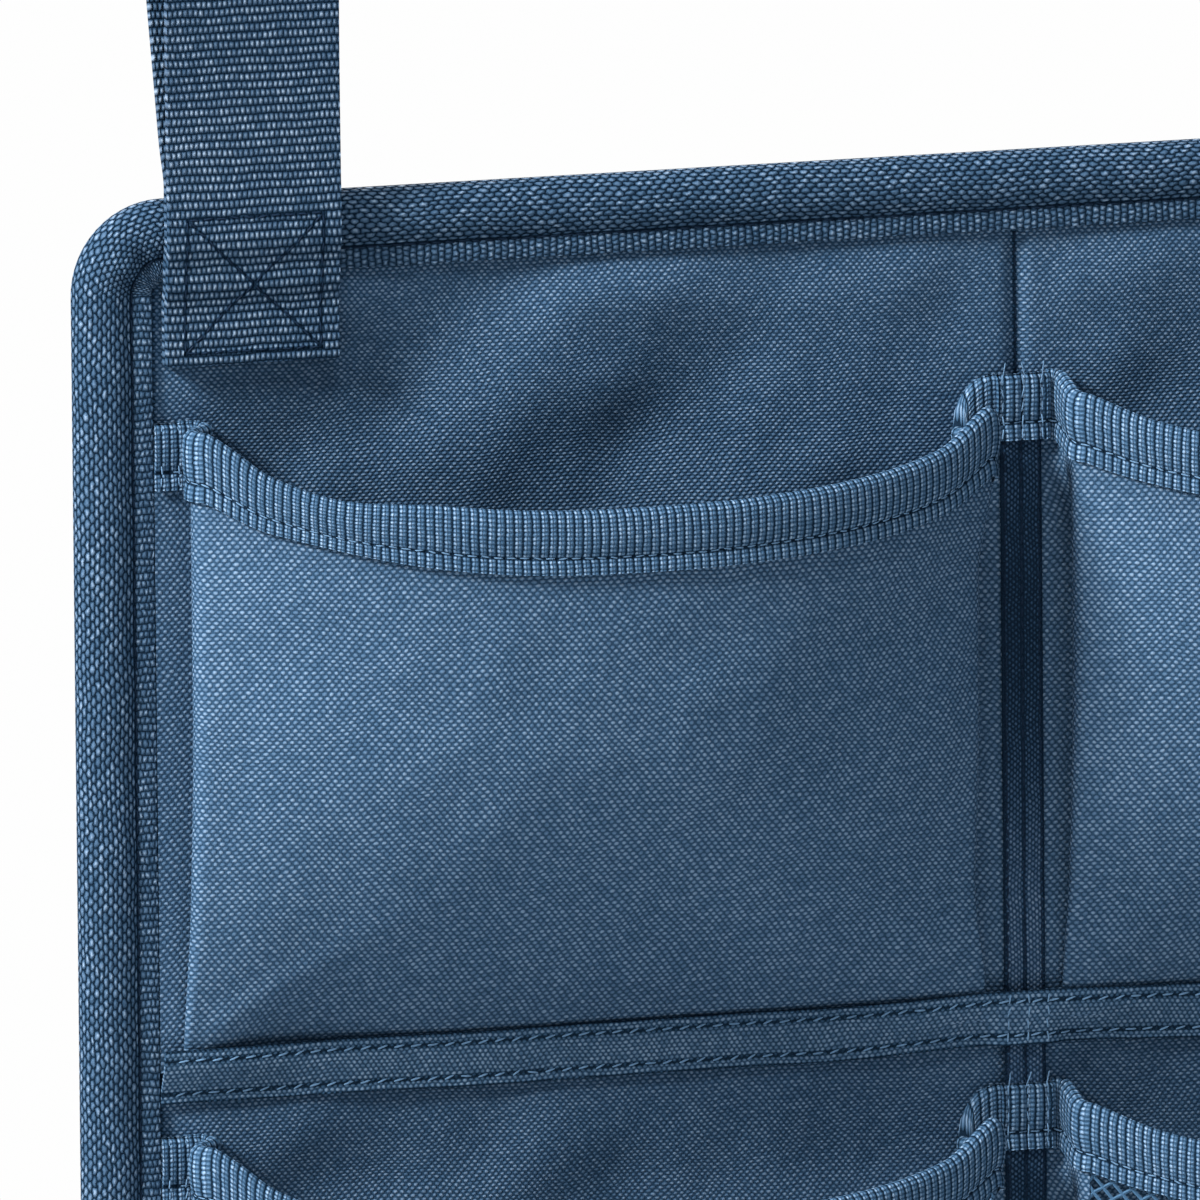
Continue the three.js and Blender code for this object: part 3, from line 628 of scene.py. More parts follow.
def away_from_seams(x, z, top, run, tape_run):
    """1 in the open parts of the panel's cloth, 0 at its seams."""
    away = free_of(np.abs(x), 3, BAY_EDGE + 3, run) * free_of(-z, top, PANEL_HEIGHT - BINDING_WIDTH, run)
    for row in range(ROW_COUNT):
        away = away * (1 - peak(z, tape_top(row) - 6, tape_run))
    return away


VALLEY_DEPTH, VALLEY_WIDTH = 1.3, 1.9
PILLOW_HEIGHT = 0.9
FOLD_HEIGHT = 1.05
LINING_DENT = 0.6


def front_fabric_depth(x, z):
    """Depth of the front fabric's middle, with its valley and soft folds."""
    depth = FACE_DEPTH - FABRIC / 2 - VALLEY_DEPTH * peak(x, 0, VALLEY_WIDTH)
    pillow = free_of(np.abs(x), 0, BAY_EDGE, 24) * free_of(-z, BINDING_WIDTH, TOP_MARGIN + 60, 14)
    folds = ripples(x, z, 11, 56, along=2.3, spread=0.4) + 0.35 * ripples(x, z, 12, 24, along=2.2, spread=0.5)
    away = away_from_seams(x, z, BINDING_WIDTH - 2, 12, 9)
    return depth + PILLOW_HEIGHT * pillow + FOLD_HEIGHT * away * folds


def lining_depth(x, z):
    away = away_from_seams(x, z, BINDING_WIDTH, 14, 8)
    return -(FACE_DEPTH - FABRIC / 2) - LINING_DENT * away * (0.6 + ripples(x, z, 31, 60, along=0.9))


def panel_cloth(depth_of, step, thickness=FABRIC, towards=(0, -1, 0)):
    """A cloth as large as the panel less the margin that the roll covers, with its rounded corners."""
    half = PANEL_WIDTH / 2 - CUT_INSET
    valley = np.array([0.6, 1.2, 1.8, 2.6, 3.6])
    x = np.linspace(step * 2, half, int(half / step))
    x = np.concatenate([-x[::-1], -valley[::-1], [0], valley, x])
    z = np.linspace(-CUT_INSET, CUT_INSET - PANEL_HEIGHT, int(PANEL_HEIGHT / step))
    x, z = np.meshgrid(x, z)
    above = z + PANEL_HEIGHT / 2
    corner = CORNER_RADIUS - CUT_INSET
    into_x = np.maximum(np.abs(x) - (half - corner), 0)
    into_z = np.maximum(np.abs(above) - (PANEL_HEIGHT / 2 - CORNER_RADIUS), 0)
    excess = 1 - np.minimum(corner / np.maximum(np.hypot(into_x, into_z), 1e-6), 1)
    x, z = x - np.sign(x) * into_x * excess, z - np.sign(above) * into_z * excess
    return Cloth(place(x, depth_of(x, z), z), thickness, np.stack([x, z], axis=-1), (5, 5), towards)


front_cloth = panel_cloth(front_fabric_depth, 2.4)
front = settle(front_cloth.build("front_cloth", OXFORD), "fabric", "front_fabric")

back_cloth = panel_cloth(lining_depth, 3.4, towards=(0, 1, 0))
back = settle(back_cloth.build("back_cloth", LINING), "lining", "back_lining")

foam_cloth = panel_cloth(lambda x, z: 0 * x + FOAM_MIDDLE, 6, FOAM_SHEET)
foam = settle(foam_cloth.build("foam_sheet", FOAM), "foam", "foam_core")


# Edge binding: a tape rolled over the edge, followed round the panel's outline

ROLL_SWELL = 0.035
ROLL_FROM_DEPTH = 3.4
CORNER_TUCK, TUCK_RUN = 0.5, 2.3


def binding_section(steps=32, stitch_depth=3.0):
    """Inset and depth of the tape's middle from the front lip over the edge to the back lip."""
    half = ROLL_THICKNESS / 2 - TAPE / 2
    angle_end = math.pi - math.asin(stitch_depth / half)
    length = (ROLL_WIDTH - TAPE / 2) / (1 - math.cos(angle_end))
    angles = np.linspace(angle_end, -angle_end, steps + 1)
    inset = TAPE / 2 + length * (1 - np.cos(angles))
    depth = half * np.sin(angles)
    lip_inset = BINDING_WIDTH - np.array([0, 1.0, 2.0, 2.9, 3.6, 4.1])
    lip_depth = np.array([3.05, 3.2, 3.25, 3.2, 3.05, 2.95])
    inset = np.concatenate([lip_inset, inset, lip_inset[::-1]])
    depth = np.concatenate([lip_depth, depth, -lip_depth[::-1]])
    return inset, depth


def outline(step=2.6, corner_steps=22):
    """Places round the panel's rounded outline, from the middle of its foot, and their outward directions."""
    half_w, half_h = PANEL_WIDTH / 2 - CORNER_RADIUS, PANEL_HEIGHT / 2 - CORNER_RADIUS
    foot = (0, -half_h)
    centres = [foot, (half_w, -half_h), (half_w, half_h), (-half_w, half_h), (-half_w, -half_h), foot]
    spots = []
    for k, (a, b) in enumerate(zip(centres[:-1], centres[1:])):
        facing = 90 * (k - 1)
        count = max(2, int(math.dist(a, b) / step))
        spots += [(between(a[0], b[0], t), between(a[1], b[1], t), facing)
                  for t in np.linspace(0, 1, count, endpoint=False)]
        if k < 4:
            spots += [(*b, facing + t) for t in np.linspace(0, 90, corner_steps, endpoint=False)]
    spots.append((*centres[-1], facing))
    x, z, facing = np.array(spots).T
    angle = np.radians(facing)
    return x + CORNER_RADIUS * np.cos(angle), z + CORNER_RADIUS * np.sin(angle), angle


edge_x, edge_z, facing = outline()
section_inset, section_depth = binding_section()
run = run_along(edge_x, edge_z)
swell = 1 + ROLL_SWELL * waves(run, 41, 30)[:, None]
near_corner = np.abs(np.sin(2 * facing))[:, None]
tucks = CORNER_TUCK * near_corner * np.sin(run[:, None] / TUCK_RUN) * free_of(section_inset, 6, 16, 4)
depth = section_depth * np.where(np.abs(section_depth) > ROLL_FROM_DEPTH, swell, 1)
depth = depth + np.sign(section_depth) * tucks
inward_x, inward_z = np.cos(facing)[:, None], np.sin(facing)[:, None]
grid = place(edge_x[:, None] - section_inset * inward_x, depth,
             edge_z[:, None] - section_inset * inward_z - PANEL_HEIGHT / 2)
binding_uv = pairs(run, run_along(section_inset, section_depth))
binding_cloth = Cloth(grid, TAPE, binding_uv, (40, 20), (math.cos(facing[40]), 0, math.sin(facing[40])))
settle(binding_cloth.build("binding", BINDING), "binding", "edge_binding")


# Pocket path, as in the part's source, with finer steps

HEM_RAISE = 1.1
FLANGE_STEPS, FOLD_STEPS, BEND_STEPS, FRONT_STEPS = 6, 10, 8, 44
PLEAT_STATIONS = FLANGE_STEPS + FOLD_STEPS + 1 + BEND_STEPS + 1


class End(NamedTuple):
    """How a pocket is pleated at one end. Insets from the seam are at the foot, halfway up and at the rim."""

    corner: tuple  # insets of the front's corner
    fold: tuple  # insets of the pleat's fold
    fold_drop: float  # how far the rim drops at the fold
    corner_drop: float  # how far it drops at the corner
    drop_run: float  # length over which the front's rim comes back up
    narrowing: float  # how much the hem looks narrower in front
    lowering: float  # share of that taken from its top

    def insets(self, rise):
        up, over = ease(rise / 0.25), ease((rise - 0.82) / 0.18)
        return [float(foot + (mid - foot) * up + (rim - mid) * over)
                for foot, mid, rim in (self.corner, self.fold)]


OUTER_END = End((5.5, 6, 6), (11.5, 11.5, 11), 0.5, 1, 14, 3.2, 1)
LEFT_INNER_END = End((5, 8.6, 5.4), (10, 12.5, 9.8), 11, 5.4, 40, 0, 0.9)
RIGHT_INNER_END = End((4, 4.6, 4.6), (9.5, 9, 4.6), 0.3, 3.6, 38, 0.4, 0)
INNER_ENDS = {-1: LEFT_INNER_END, 1: RIGHT_INNER_END}


def path_part(*values):
    """A part of the path: for each point the length along, depth, heading, place across and so on."""
    return np.array(np.broadcast_arrays(*values), float)


def arc(centre_along, centre_depth, radius, turn, start, end, steps):
    heading = np.linspace(start, end, steps + 1)
    return path_part(centre_along + turn * radius * np.sin(heading),
                     centre_depth - turn * radius * np.cos(heading), heading, -1)


def half_path(rise, end, middle_lowering):
    """From a seam to the pocket's middle: length along, depth, heading, place across from -1 at the corner to
    0 in the middle, the rim's drop and the hem's narrowing."""
    side_rise = math.sin(math.pi / 2 * min(1, rise / SIDE_RISE))
    fold_radius = between(LAYER_PITCH / 2, FOLD_BEND, side_rise)
    bend_radius = between(LAYER_PITCH / 2, CORNER_BEND, side_rise)
    corner_depth = between(layer_depth(2), SIDE_DEPTH, side_rise)
    bulge = (BELLY_DEPTH - SIDE_DEPTH) * math.sin(math.pi / 2 * rise)
    dip = 2 * LAYER_PITCH * (1 - side_rise)
    corner_inset, fold_inset = end.insets(rise)
    fold_along, fold_depth = fold_inset - fold_radius, layer_depth(0) + fold_radius
    bend_along, bend_depth = corner_inset + bend_radius, corner_depth - bend_radius
    over, climb = bend_along - fold_along, bend_depth - fold_depth
    back = math.atan2(climb, over) + math.asin((fold_radius + bend_radius) / math.hypot(over, climb))
    start = math.atan(bulge * BELLY_POWER / (BAY_WIDTH / 2 - bend_along))
    flange = path_part(np.linspace(GAP, fold_along, FLANGE_STEPS + 2)[:-1], layer_depth(0), 0, -1)
    fold = arc(fold_along, fold_depth, fold_radius, 1, 0, back, FOLD_STEPS)
    bend = arc(bend_along, bend_depth, bend_radius, -1, back, start, BEND_STEPS)
    first_along, first_depth = bend[:2, -1]
    half_span = BAY_WIDTH / 2 - first_along
    steps = np.arange(1, FRONT_STEPS + 1) / FRONT_STEPS
    across = 0.5 * (steps - 1) - 0.5 * np.cos(math.pi / 2 * steps**0.9)
    along = BAY_WIDTH / 2 + across * half_span

    def depth_at(at):
        share = (at - BAY_WIDTH / 2) / half_span
        settled = ease((at - fold_inset - FABRIC) / SETTLE_RUN)
        return first_depth + bulge * belly(share) - dip * settled

    heading = np.arctan2(depth_at(along + 0.5) - depth_at(along - 0.5), 1.0)
    heading[-1] = 0
    pleat = np.hstack([flange, fold, bend])
    pleat_run = run_along(*pleat[:2])
    fold_tip = pleat_run[FLANGE_STEPS + FOLD_STEPS // 2]
    fold_end = pleat_run[FLANGE_STEPS + FOLD_STEPS + 1]
    out = np.clip((pleat_run - 1.0) / (fold_tip - 1.0), 0, 1)
    home = np.clip((pleat_run - fold_end) / (pleat_run[-1] - fold_end), 0, 1)
    pleat_drop = end.fold_drop * (1 - np.sqrt(1 - out**2)) + (end.corner_drop - end.fold_drop) * ease(home)
    front_drop = end.corner_drop * peak(along, first_along, end.drop_run)
    path = np.hstack([pleat, path_part(along, depth_at(along), heading, across)])
    reached = np.clip((np.arange(path.shape[1]) - FLANGE_STEPS - FOLD_STEPS) / BEND_STEPS, 0, 1)
    onset = ease((path[0] - 7) / 13) * reached
    slim = 2 * onset + end.narrowing * onset * peak(path[0], 31, 15)
    lowering = between(end.lowering, middle_lowering, ease(1 - np.abs(path[3])))
    drop = np.concatenate([pleat_drop, front_drop]) + lowering * slim - HEM_RAISE * (1 - onset)
    return np.vstack([path, drop, slim + (HEM_RAISE - 0.2) * (1 - onset)])


def bay_path(rise, side):
    """A whole bay's path from the outer seam to the middle of the panel."""
    ends = OUTER_END, INNER_ENDS[side]
    middle_lowering = (ends[0].lowering + ends[1].lowering) / 2
    outer, inner = (half_path(rise, end, middle_lowering) for end in ends)
    level = (outer[1, -1] + inner[1, -1]) / 2
    for half in (outer, inner):
        half[1] += (level - half[1, -1]) * (1 - np.abs(half[3])) ** 2
    mirror = inner[:, -2::-1].copy()
    mirror[0] = BAY_WIDTH - mirror[0]
    mirror[2:4] *= -1
    mirror[0, -1] = BAY_WIDTH + DIVIDER_WIDTH / 2 - GAP / 2
    return np.hstack([outer, mirror])


CREASES = ((-1, 50, 34, 0.55), (1, 40, 46, 0.1))
CREASE_RIDGE, CREASE_HOLLOW = 1.5, -3.4
DENT_DEPTH, RIPPLE_DEPTH = 0.8, 0.25
FRONT_HEIGHT = 117.0


def look_extra(across, rise, seed):
    """How far the front stands out or in beside the plain form: creases at the corners and soft dents."""
    inside = np.clip((1 - np.abs(across)) * 12, 0, 1)
    x, y = across * BAY_WIDTH / 2, rise * FRONT_HEIGHT
    total = np.zeros(len(across))
    for side, reach, lift, amount in CREASES:
        start = side * (BAY_WIDTH / 2)
        dx, dy = -side * reach, lift
        size = math.hypot(dx, dy)
        t = ((x - start) * dx + y * dy) / size
        d = -side * ((x - start) * dy - y * dx) / size
        fade = ease(t / 6) * (1 - ease((t - 18) / (size * 0.9)))
        hollow = CREASE_HOLLOW * ease(d / 9) * peak(np.maximum(d, 0), 0, 26)
        total = total + amount * fade * (CREASE_RIDGE * peak(d, 0, 3.5) + hollow)
    soft = (DENT_DEPTH * ripples(x, y, seed, 58, along=2.3, spread=0.6)
            + RIPPLE_DEPTH * ripples(x, y, seed + 1, 22, along=2.3))
    body = hump(rise * 0.5 + 0.02) * ease(rise / 0.12) * (1 - 0.75 * ease((rise - 0.8) / 0.2))
    return inside * (total + soft * body)


def pocket_surface(side, row, seed, rises=60):
    """Grid of the pocket fabric's middle, from the tuck under the row tape to the rim."""
    rows, uvs = [], []
    for level, rise in enumerate([0.0, *np.linspace(0, 1, rises), 1.0]):
        along, depth, heading, across, drop, slim = bay_path(rise, side)
        rim = rim_height(row, across) - drop
        extra = np.zeros(len(along))
        if level == 0:
            z = extra + tape_top(row) - TUCK
        elif level > rises:
            z = rim - TAPE - GAP
        else:
            z = between(tape_top(row), rim - HEM_WIDTH + slim - GAP, rise)
            extra = look_extra(across, rise, seed)
        run = run_along(along, depth)
        along = along - extra * np.sin(heading) * 0.5
        depth = depth + extra * np.cos(heading)
        rows.append(place(side * (BAY_EDGE - along), depth, z))
        uvs.append(np.stack([run - run[len(run) // 2], z], axis=-1))
    return np.stack(rows), np.stack(uvs)


STATIONS = 2 * (1 + PLEAT_STATIONS + FRONT_STEPS) - 1
MIDDLE = STATIONS // 2
pocket_cloths = {}
for row in range(ROW_COUNT):
    for side_name, side in SIDES.items():
        grid, uv = pocket_surface(side, row, seed=100 + 10 * row + (side > 0))
        cloth = Cloth(grid, FABRIC, uv, (30, MIDDLE))
        pocket_cloths[row, side_name] = cloth
        if row != NET_ROW:
            node = f"row{row + 1}_{side_name}_pocket"
            made = settle(cloth.build(f"{node}_cloth", POCKET), "fabric", node)


# Hem tapes: a fold over the rim, all the way across the panel

HEM_WAVE = 0.18
HEM_PUFF, HEM_PUFF_END = 0.75, 11.4
HEM_PINCH, HEM_FLARE = 0.3, 0.35
HEM_DENT = 0.55


def hem_half(side):
    """One half of the hem's path, from the edge to the middle of the panel."""
    pocket = bay_path(1.0, side)[:, :-1]
    bridge_half = DIVIDER_WIDTH / 2 + 1
    ramp = np.linspace(pocket[0, -1] + 1, BAY_EDGE - bridge_half, 6)
    bridge = np.concatenate([ramp, np.linspace(BAY_EDGE - bridge_half, BAY_EDGE, 13)[1:]])
    lift = LAYER_PITCH * ease(np.arange(18) / 5)
    for seam in (0.0, DIVIDER_SEAM):
        lift = lift - HEM_DENT * peak(BAY_EDGE - bridge, seam, SEAM_WIDTH)
    path = np.hstack([pocket, path_part(bridge, layer_depth(0) + lift, 0, 1, -HEM_RAISE, HEM_RAISE - 0.2)])
    path[0] -= BAY_EDGE
    return path


def hem_path():
    """The whole path, with x in place of the length along, and where it lies flat."""
    right = hem_half(1)[:, -2::-1]
    right[[0, 2]] *= -1
    path = np.hstack([hem_half(-1), right])
    flat = (np.abs(path[2]) < 0.02) & (np.abs(path[3]) > 0.999)
    return np.vstack([path, flat])


def hem_section():
    """Offset in front of the fabric and drop below the rim, from the front foot over to the back foot."""
    radius = FABRIC / 2 + GAP + TAPE / 2
    top = radius + TAPE / 2
    drop = np.concatenate([[HEM_WIDTH, HEM_WIDTH - 0.8, 14.0, 13.2, 12.4, 11.8, 11.4, 11.0, 10.4, 9.4],
                           np.linspace(8.2, top, 8)])
    puff = np.where(drop < HEM_PUFF_END, HEM_PUFF * hump((HEM_PUFF_END - drop) / HEM_PUFF_END) ** 0.8, 0)
    pinch = HEM_PINCH * peak(drop, HEM_PUFF_END, SEAM_WIDTH)
    front_offset = radius + puff - pinch + HEM_FLARE * ease((drop - 11.8) / 2.5)
    turn = np.linspace(0, math.pi, 9)[1:-1]
    offset = np.concatenate([front_offset, radius * np.cos(turn), np.full(9, -radius)])
    drop = np.concatenate([drop, top - radius * np.sin(turn), np.linspace(top, HEM_BACK_WIDTH, 9)])
    return offset, drop, len(front_offset) + len(turn)


x, depth, heading, across, fall, slim, flat = hem_path()[:, :, None]
offset, drop, back_from = hem_section()
point = np.arange(len(drop))
run = run_along(x[:, 0], depth[:, 0])
squeeze = np.convolve(np.pad(flat[:, 0], 3, mode="edge"), np.ones(7) / 7, mode="valid")[:, None]
pressed = offset * (1 - 0.15 * squeeze)
pressed = np.where(point >= back_from - 7, pressed * (1 - squeeze) + 0.35 * squeeze, pressed)
below = np.where(point >= back_from, TAPE + (drop - TAPE) * (1 - 0.9 * squeeze),
                 drop * (1 - slim / HEM_WIDTH))
hem_uv = pairs(run, run_along(offset, drop))
hem_cloths = []
for row in range(ROW_COUNT):
    wave = HEM_WAVE * waves(run, 200 + row, 26)[:, None]
    out = pressed + np.where(pressed > 0, wave, 0) * hump(below / HEM_PUFF_END) * (1 - squeeze)
    height = rim_height(row, across) - fall - below
    grid = place(x - out * np.sin(heading), depth + out * np.cos(heading), height)
    cloth = Cloth(grid, TAPE, hem_uv, (len(x) // 4, 8))
    hem_cloths.append(cloth)
    settle(cloth.build(f"row{row + 1}_hem_tape", HEM), "tape", f"row{row + 1}_hem")


# Row tapes

def tape_depth(x):
    under = np.zeros(len(x))
    keep = slice(PLEAT_STATIONS + 1, -PLEAT_STATIONS - 1)
    for side in (-1, 1):
        along, depth = bay_path(0.0, side)[:2]
        ends = layer_depth(2)
        here = np.interp(BAY_EDGE - side * x, along[keep], depth[keep], left=ends, right=ends)
        under = np.where(side * x > 0, here, under)
    return np.where(x == 0, layer_depth(2), under) + LAYER_PITCH


CROSSING_RISE = 1.3
SEAM_DENT = 0.22
TAPE_LOOSENESS = 0.35
TAPE_WANDER = 0.35

row_cloths = []
row_tape_x = np.linspace(-BAY_EDGE + GAP, BAY_EDGE - GAP, 171)
drop = np.array([0, 0.7, 1.5, 2.2, 3.0, 4.0, 5.2, 6.4, 7.6, 8.8, 9.6, 10.4, 11.1, ROW_TAPE_WIDTH])
upper = tape_depth(row_tape_x)[:, None]
from_divider = np.abs(row_tape_x)[:, None]
lower = between(layer_depth(2), layer_depth(0), ease((from_divider - 5.5) / 3))
depth = upper + TAPE_LOOSENESS + (lower - upper - 0.1) * ease((drop - 1.0) / 10.8)
for seam in ROW_SEAMS:
    depth = depth - SEAM_DENT * peak(drop, seam, SEAM_WIDTH)
crossing = CROSSING_RISE * (1 - ease((from_divider - 8) / 45))
uv = pairs(row_tape_x, drop)
for row in range(ROW_COUNT):
    wander = TAPE_WANDER * waves(row_tape_x, 300 + row, 60)[:, None]
    grid = place(row_tape_x[:, None], depth, tape_top(row) - drop + wander + crossing)
    cloth = Cloth(grid, TAPE, uv, (30, 6))
    row_cloths.append(cloth)
    settle(cloth.build(f"row{row + 1}_tape_cloth", ROW_TAPE), "tape", f"row{row + 1}_tape")


# Divider tape

DIVIDER_DIP = 0.35
x = np.linspace(-DIVIDER_WIDTH / 2, DIVIDER_WIDTH / 2, 11)
z = np.linspace(hem_top(0), tape_top(ROW_COUNT - 1) - ROW_TAPE_WIDTH, 210)
depth = layer_depth(1) - DIVIDER_DIP * (1 - np.abs(np.sin(math.pi * x / (DIVIDER_WIDTH / 2))))
depth = depth + 0.12 * waves(z, 61, 14)[:, None]
divider_cloth = Cloth(place(x, depth, z[:, None]), TAPE, pairs(z, x), (30, 5))
settle(divider_cloth.build("divider_cloth", DIVIDER), "tape", "divider_tape")


# Straps: one length of webbing from the top tab round the crown to the under tab

JOINT_DEPTH = 7.15
STRAP_LEAN = 0.5
STRAP_CUP = 0.25


def strap_line():
    """Depth and height of the webbing's middle, in order from the top tab's foot to the under tab's."""
    low, top = WEBBING / 2 + GAP, WEBBING * 1.5 + 2 * GAP
    roll = ROLL_THICKNESS / 2
    crown = CROWN_RADIUS + WEBBING / 2
    crown_z = HANG_HEIGHT - CROWN_RADIUS

    def tab(seat):
        return [(FACE_DEPTH + seat, -TAB_LENGTH), (FACE_DEPTH + seat, -28), (FACE_DEPTH + seat, -22),
                (LIP_DEPTH + seat, -18), (LIP_DEPTH + seat, -14), (roll + seat, -9), (roll + seat, -4),
                (roll + seat, 1)]

    front_leg = [(roll + top - 0.2, 6), (8.1, 24), (8.9, 44), (10.4, 68), (12.2, 94)]
    back_leg = [(-12.4, 96), (-8.8, 70), (-4.2, 44), (0.3, 24), (3.2, 12), (roll + low - 0.2, 5)]
    arch = [(crown * math.cos(t), crown_z + crown * math.sin(t)) for t in np.linspace(0.12, math.pi - 0.12, 9)]
    return np.array(tab(top) + front_leg + arch + back_leg + tab(low)[::-1])


def smooth_line(points, step):
    """A Catmull-Rom curve through the points, evenly stepped."""
    padded = np.vstack([2 * points[0] - points[1], points, 2 * points[-1] - points[-2]])
    t = np.linspace(0, 1, 24, endpoint=False)[:, None]
    pieces = []
    for a, b, c, d in zip(padded[:-3], padded[1:-2], padded[2:-1], padded[3:]):
        pieces.append(0.5 * (2 * b + (c - a) * t + (2 * a - 5 * b + 4 * c - d) * t**2
                             + (3 * b - a - 3 * c + d) * t**3))
    curve = np.vstack([*pieces, points[-1:]])
    run = run_along(*curve.T)
    even = np.linspace(0, run[-1], int(run[-1] / step) + 1)
    return np.stack([np.interp(even, run, curve[:, k]) for k in range(2)], axis=-1), even


line, run = smooth_line(strap_line(), 1.6)
line_depth, height = line[:, :1], line[:, 1:]
lean = STRAP_LEAN * ease((height - 4) / 60)
x = np.linspace(-WEBBING_WIDTH / 2, WEBBING_WIDTH / 2, 19)
strap_cloths = {}
for side_name, side in SIDES.items():
    cup = STRAP_CUP * waves(run, 71 + side, 60)[:, None] * (x / (WEBBING_WIDTH / 2)) ** 2
    grid = place(side * STRAP_CENTRE + x - lean, line_depth + cup, height)
    cloth = Cloth(grid, WEBBING, pairs(run, x), (4, 9))
    strap_cloths[side_name] = cloth
    made = cloth.build(f"{side_name}_strap", WEB)
    across, depth = side * STRAP_CENTRE * MM, -JOINT_DEPTH * MM
    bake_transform(made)
    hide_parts(f"{side_name}_strap_loop", f"{side_name}_strap_top_tab", f"{side_name}_strap_under_tab")


# Nets and their pleat strips

NET_CELL = (3.9, 3.3)  # a diamond's width and height
NET_YARN_RADIUS = 0.36
NET_BENDS = (0.0, 0.18, 0.82)  # where a strand bends, as shares of half a cell
NET_RISE = 0.94


def net_object(name, cloth, first, last, material):
    """Zigzag strands that meet in diamond gaps, over a pocket's front between two columns of its grid."""
    rows = cloth.grid.shape[0]
    span = run_along(*cloth.grid[rows // 2, first:last + 1].T)
    rise = run_along(*cloth.grid[:, MIDDLE].T)
    cells_wide, cells_high = int(span[-1] / NET_CELL[0]), int(rise[-1] / NET_CELL[1])
    column_at = np.interp(np.linspace(0, span[-1], 4 * cells_wide + 1), span, np.arange(first, last + 1))
    row_at = np.interp(np.linspace(0, rise[-1], 4 * cells_high + 1), rise, np.arange(rows))
    step, bend = pairs(np.arange(2 * cells_wide), NET_BENDS).reshape(-1, 2).T
    strand = np.arange(2 * cells_high)[:, None]
    level = 0.5 + np.where((step + strand) % 2 == 0, bend - 0.5, 0.5 - bend) * NET_RISE
    column = np.interp(2 * (step + bend), np.arange(4 * cells_wide + 1), column_at)
    row = np.interp(2 * (strand + level), np.arange(4 * cells_high + 1), row_at)
    spot, normal = cloth.at(row, column, -cloth.thickness / 2)
    way = np.gradient(spot, axis=1)
    way /= np.maximum(np.linalg.norm(way, axis=2, keepdims=True), 1e-9)
    side = np.cross(normal, way)
    ring = NET_YARN_RADIUS * np.array([(1, 0), (0, 0.75), (-1, 0), (0, -0.75)])
    points = spot[:, :, None] + side[:, :, None] * ring[:, :1] + normal[:, :, None] * ring[:, 1:]
    corner = np.arange(4)
    a = 4 * np.arange(len(step) - 1)[:, None] + corner
    b = a + np.roll(corner, -1) - corner
    tube = np.stack([a, b, b + 4, a + 4], axis=-1).reshape(-1, 4)
    template = np.concatenate([tube, [corner[::-1], 4 * (len(step) - 1) + corner]])
    faces = (template + 4 * len(step) * strand[:, None]).reshape(-1, 4)
    points = points.reshape(-1, 3)
    return mesh_object(name, points, faces, points[:, [0, 2]], material)


for side_name, side in SIDES.items():
    cloth = pocket_cloths[NET_ROW, side_name]
    end = PLEAT_STATIONS - 4
    net = net_object(f"row2_{side_name}_net_yarn", cloth, end, STATIONS - 1 - end, NET)
    settle(net, "net", f"row2_{side_name}_net")
    ends = {"outer": (slice(PLEAT_STATIONS), 1), "inner": (slice(-PLEAT_STATIONS, None), -2)}
    for which, (columns, flange) in ends.items():
        node = f"row2_{side_name}_{which}_pleat"
        strip = Cloth(cloth.grid[:, columns], FABRIC, cloth.uv[:, columns], (30, flange))
        made = settle(strip.build(f"{node}_cloth", POCKET), "fabric", node)


# Stitches

SEAMS_ACROSS = (-DIVIDER_SEAM, 0.0, DIVIDER_SEAM)

thread = Thread(5)
for column in (5.6, binding_cloth.grid.shape[1] - 1 - 5.6):
    thread.column(binding_cloth, column, pitch=2.9)
settle(thread.build("binding_stitches", THREAD), "binding")

for row in range(ROW_COUNT):
    thread = Thread(20 + row)
    thread.column(hem_cloths[row], 6.0, skip=3, pitch=2.8)
    top, foot = hem_top(row), hem_top(row) - HEM_WIDTH
    for inset in (1.6, 5.4):
        for side in (-1, 1):
            thread.straight(side * (BAY_EDGE - inset), layer_depth(1) + 0.1 + TAPE / 2,
                            np.linspace(top + 0.4, foot + 2.3, 8), pitch=2.6, radius=0.16)
    face = layer_depth(2) + TAPE / 2
    for x in SEAMS_ACROSS:
        thread.straight(x, face + 0.1, np.linspace(top + 1.0, foot + 2.0, 8), pitch=2.5, radius=0.16)
        thread.straight(x, face + np.array([0.2, 0.5, 1.2]), top + np.array([-0.4, 2.1, 3.6]),
                        pitch=4.0, fill=0.95, radius=0.15)
    settle(thread.build(f"row{row + 1}_hem_stitches", PALE_THREAD), "tape")

thread = Thread(40)
for cloth in row_cloths:
    for column in (3.0, 10.0):
        thread.column(cloth, column, skip=1, pitch=3.7, fill=0.66, slant=0.28, radius=0.22)
    for x in SEAMS_ACROSS:
        row = np.interp(x, row_tape_x, np.arange(len(row_tape_x)))
        thread.along(*cloth.at(np.full(12, row), np.linspace(0.5, 12.5, 12), STITCH_LIFT),
                     pitch=2.6, radius=0.18)
settle(thread.build("row_tape_stitches", PALE_THREAD), "tape")

thread = Thread(50)
for column in (0.9, 5.0, 9.1):
    thread.column(divider_cloth, column, pitch=2.6)
z = np.linspace(-BINDING_WIDTH - 0.5, hem_top(0) + 0.5, 14)
thread.straight(0.0, front_fabric_depth(0 * z, z) + FABRIC / 2 + 0.12, z, pitch=2.6, radius=0.2)
settle(thread.build("divider_stitches", THREAD), "tape")

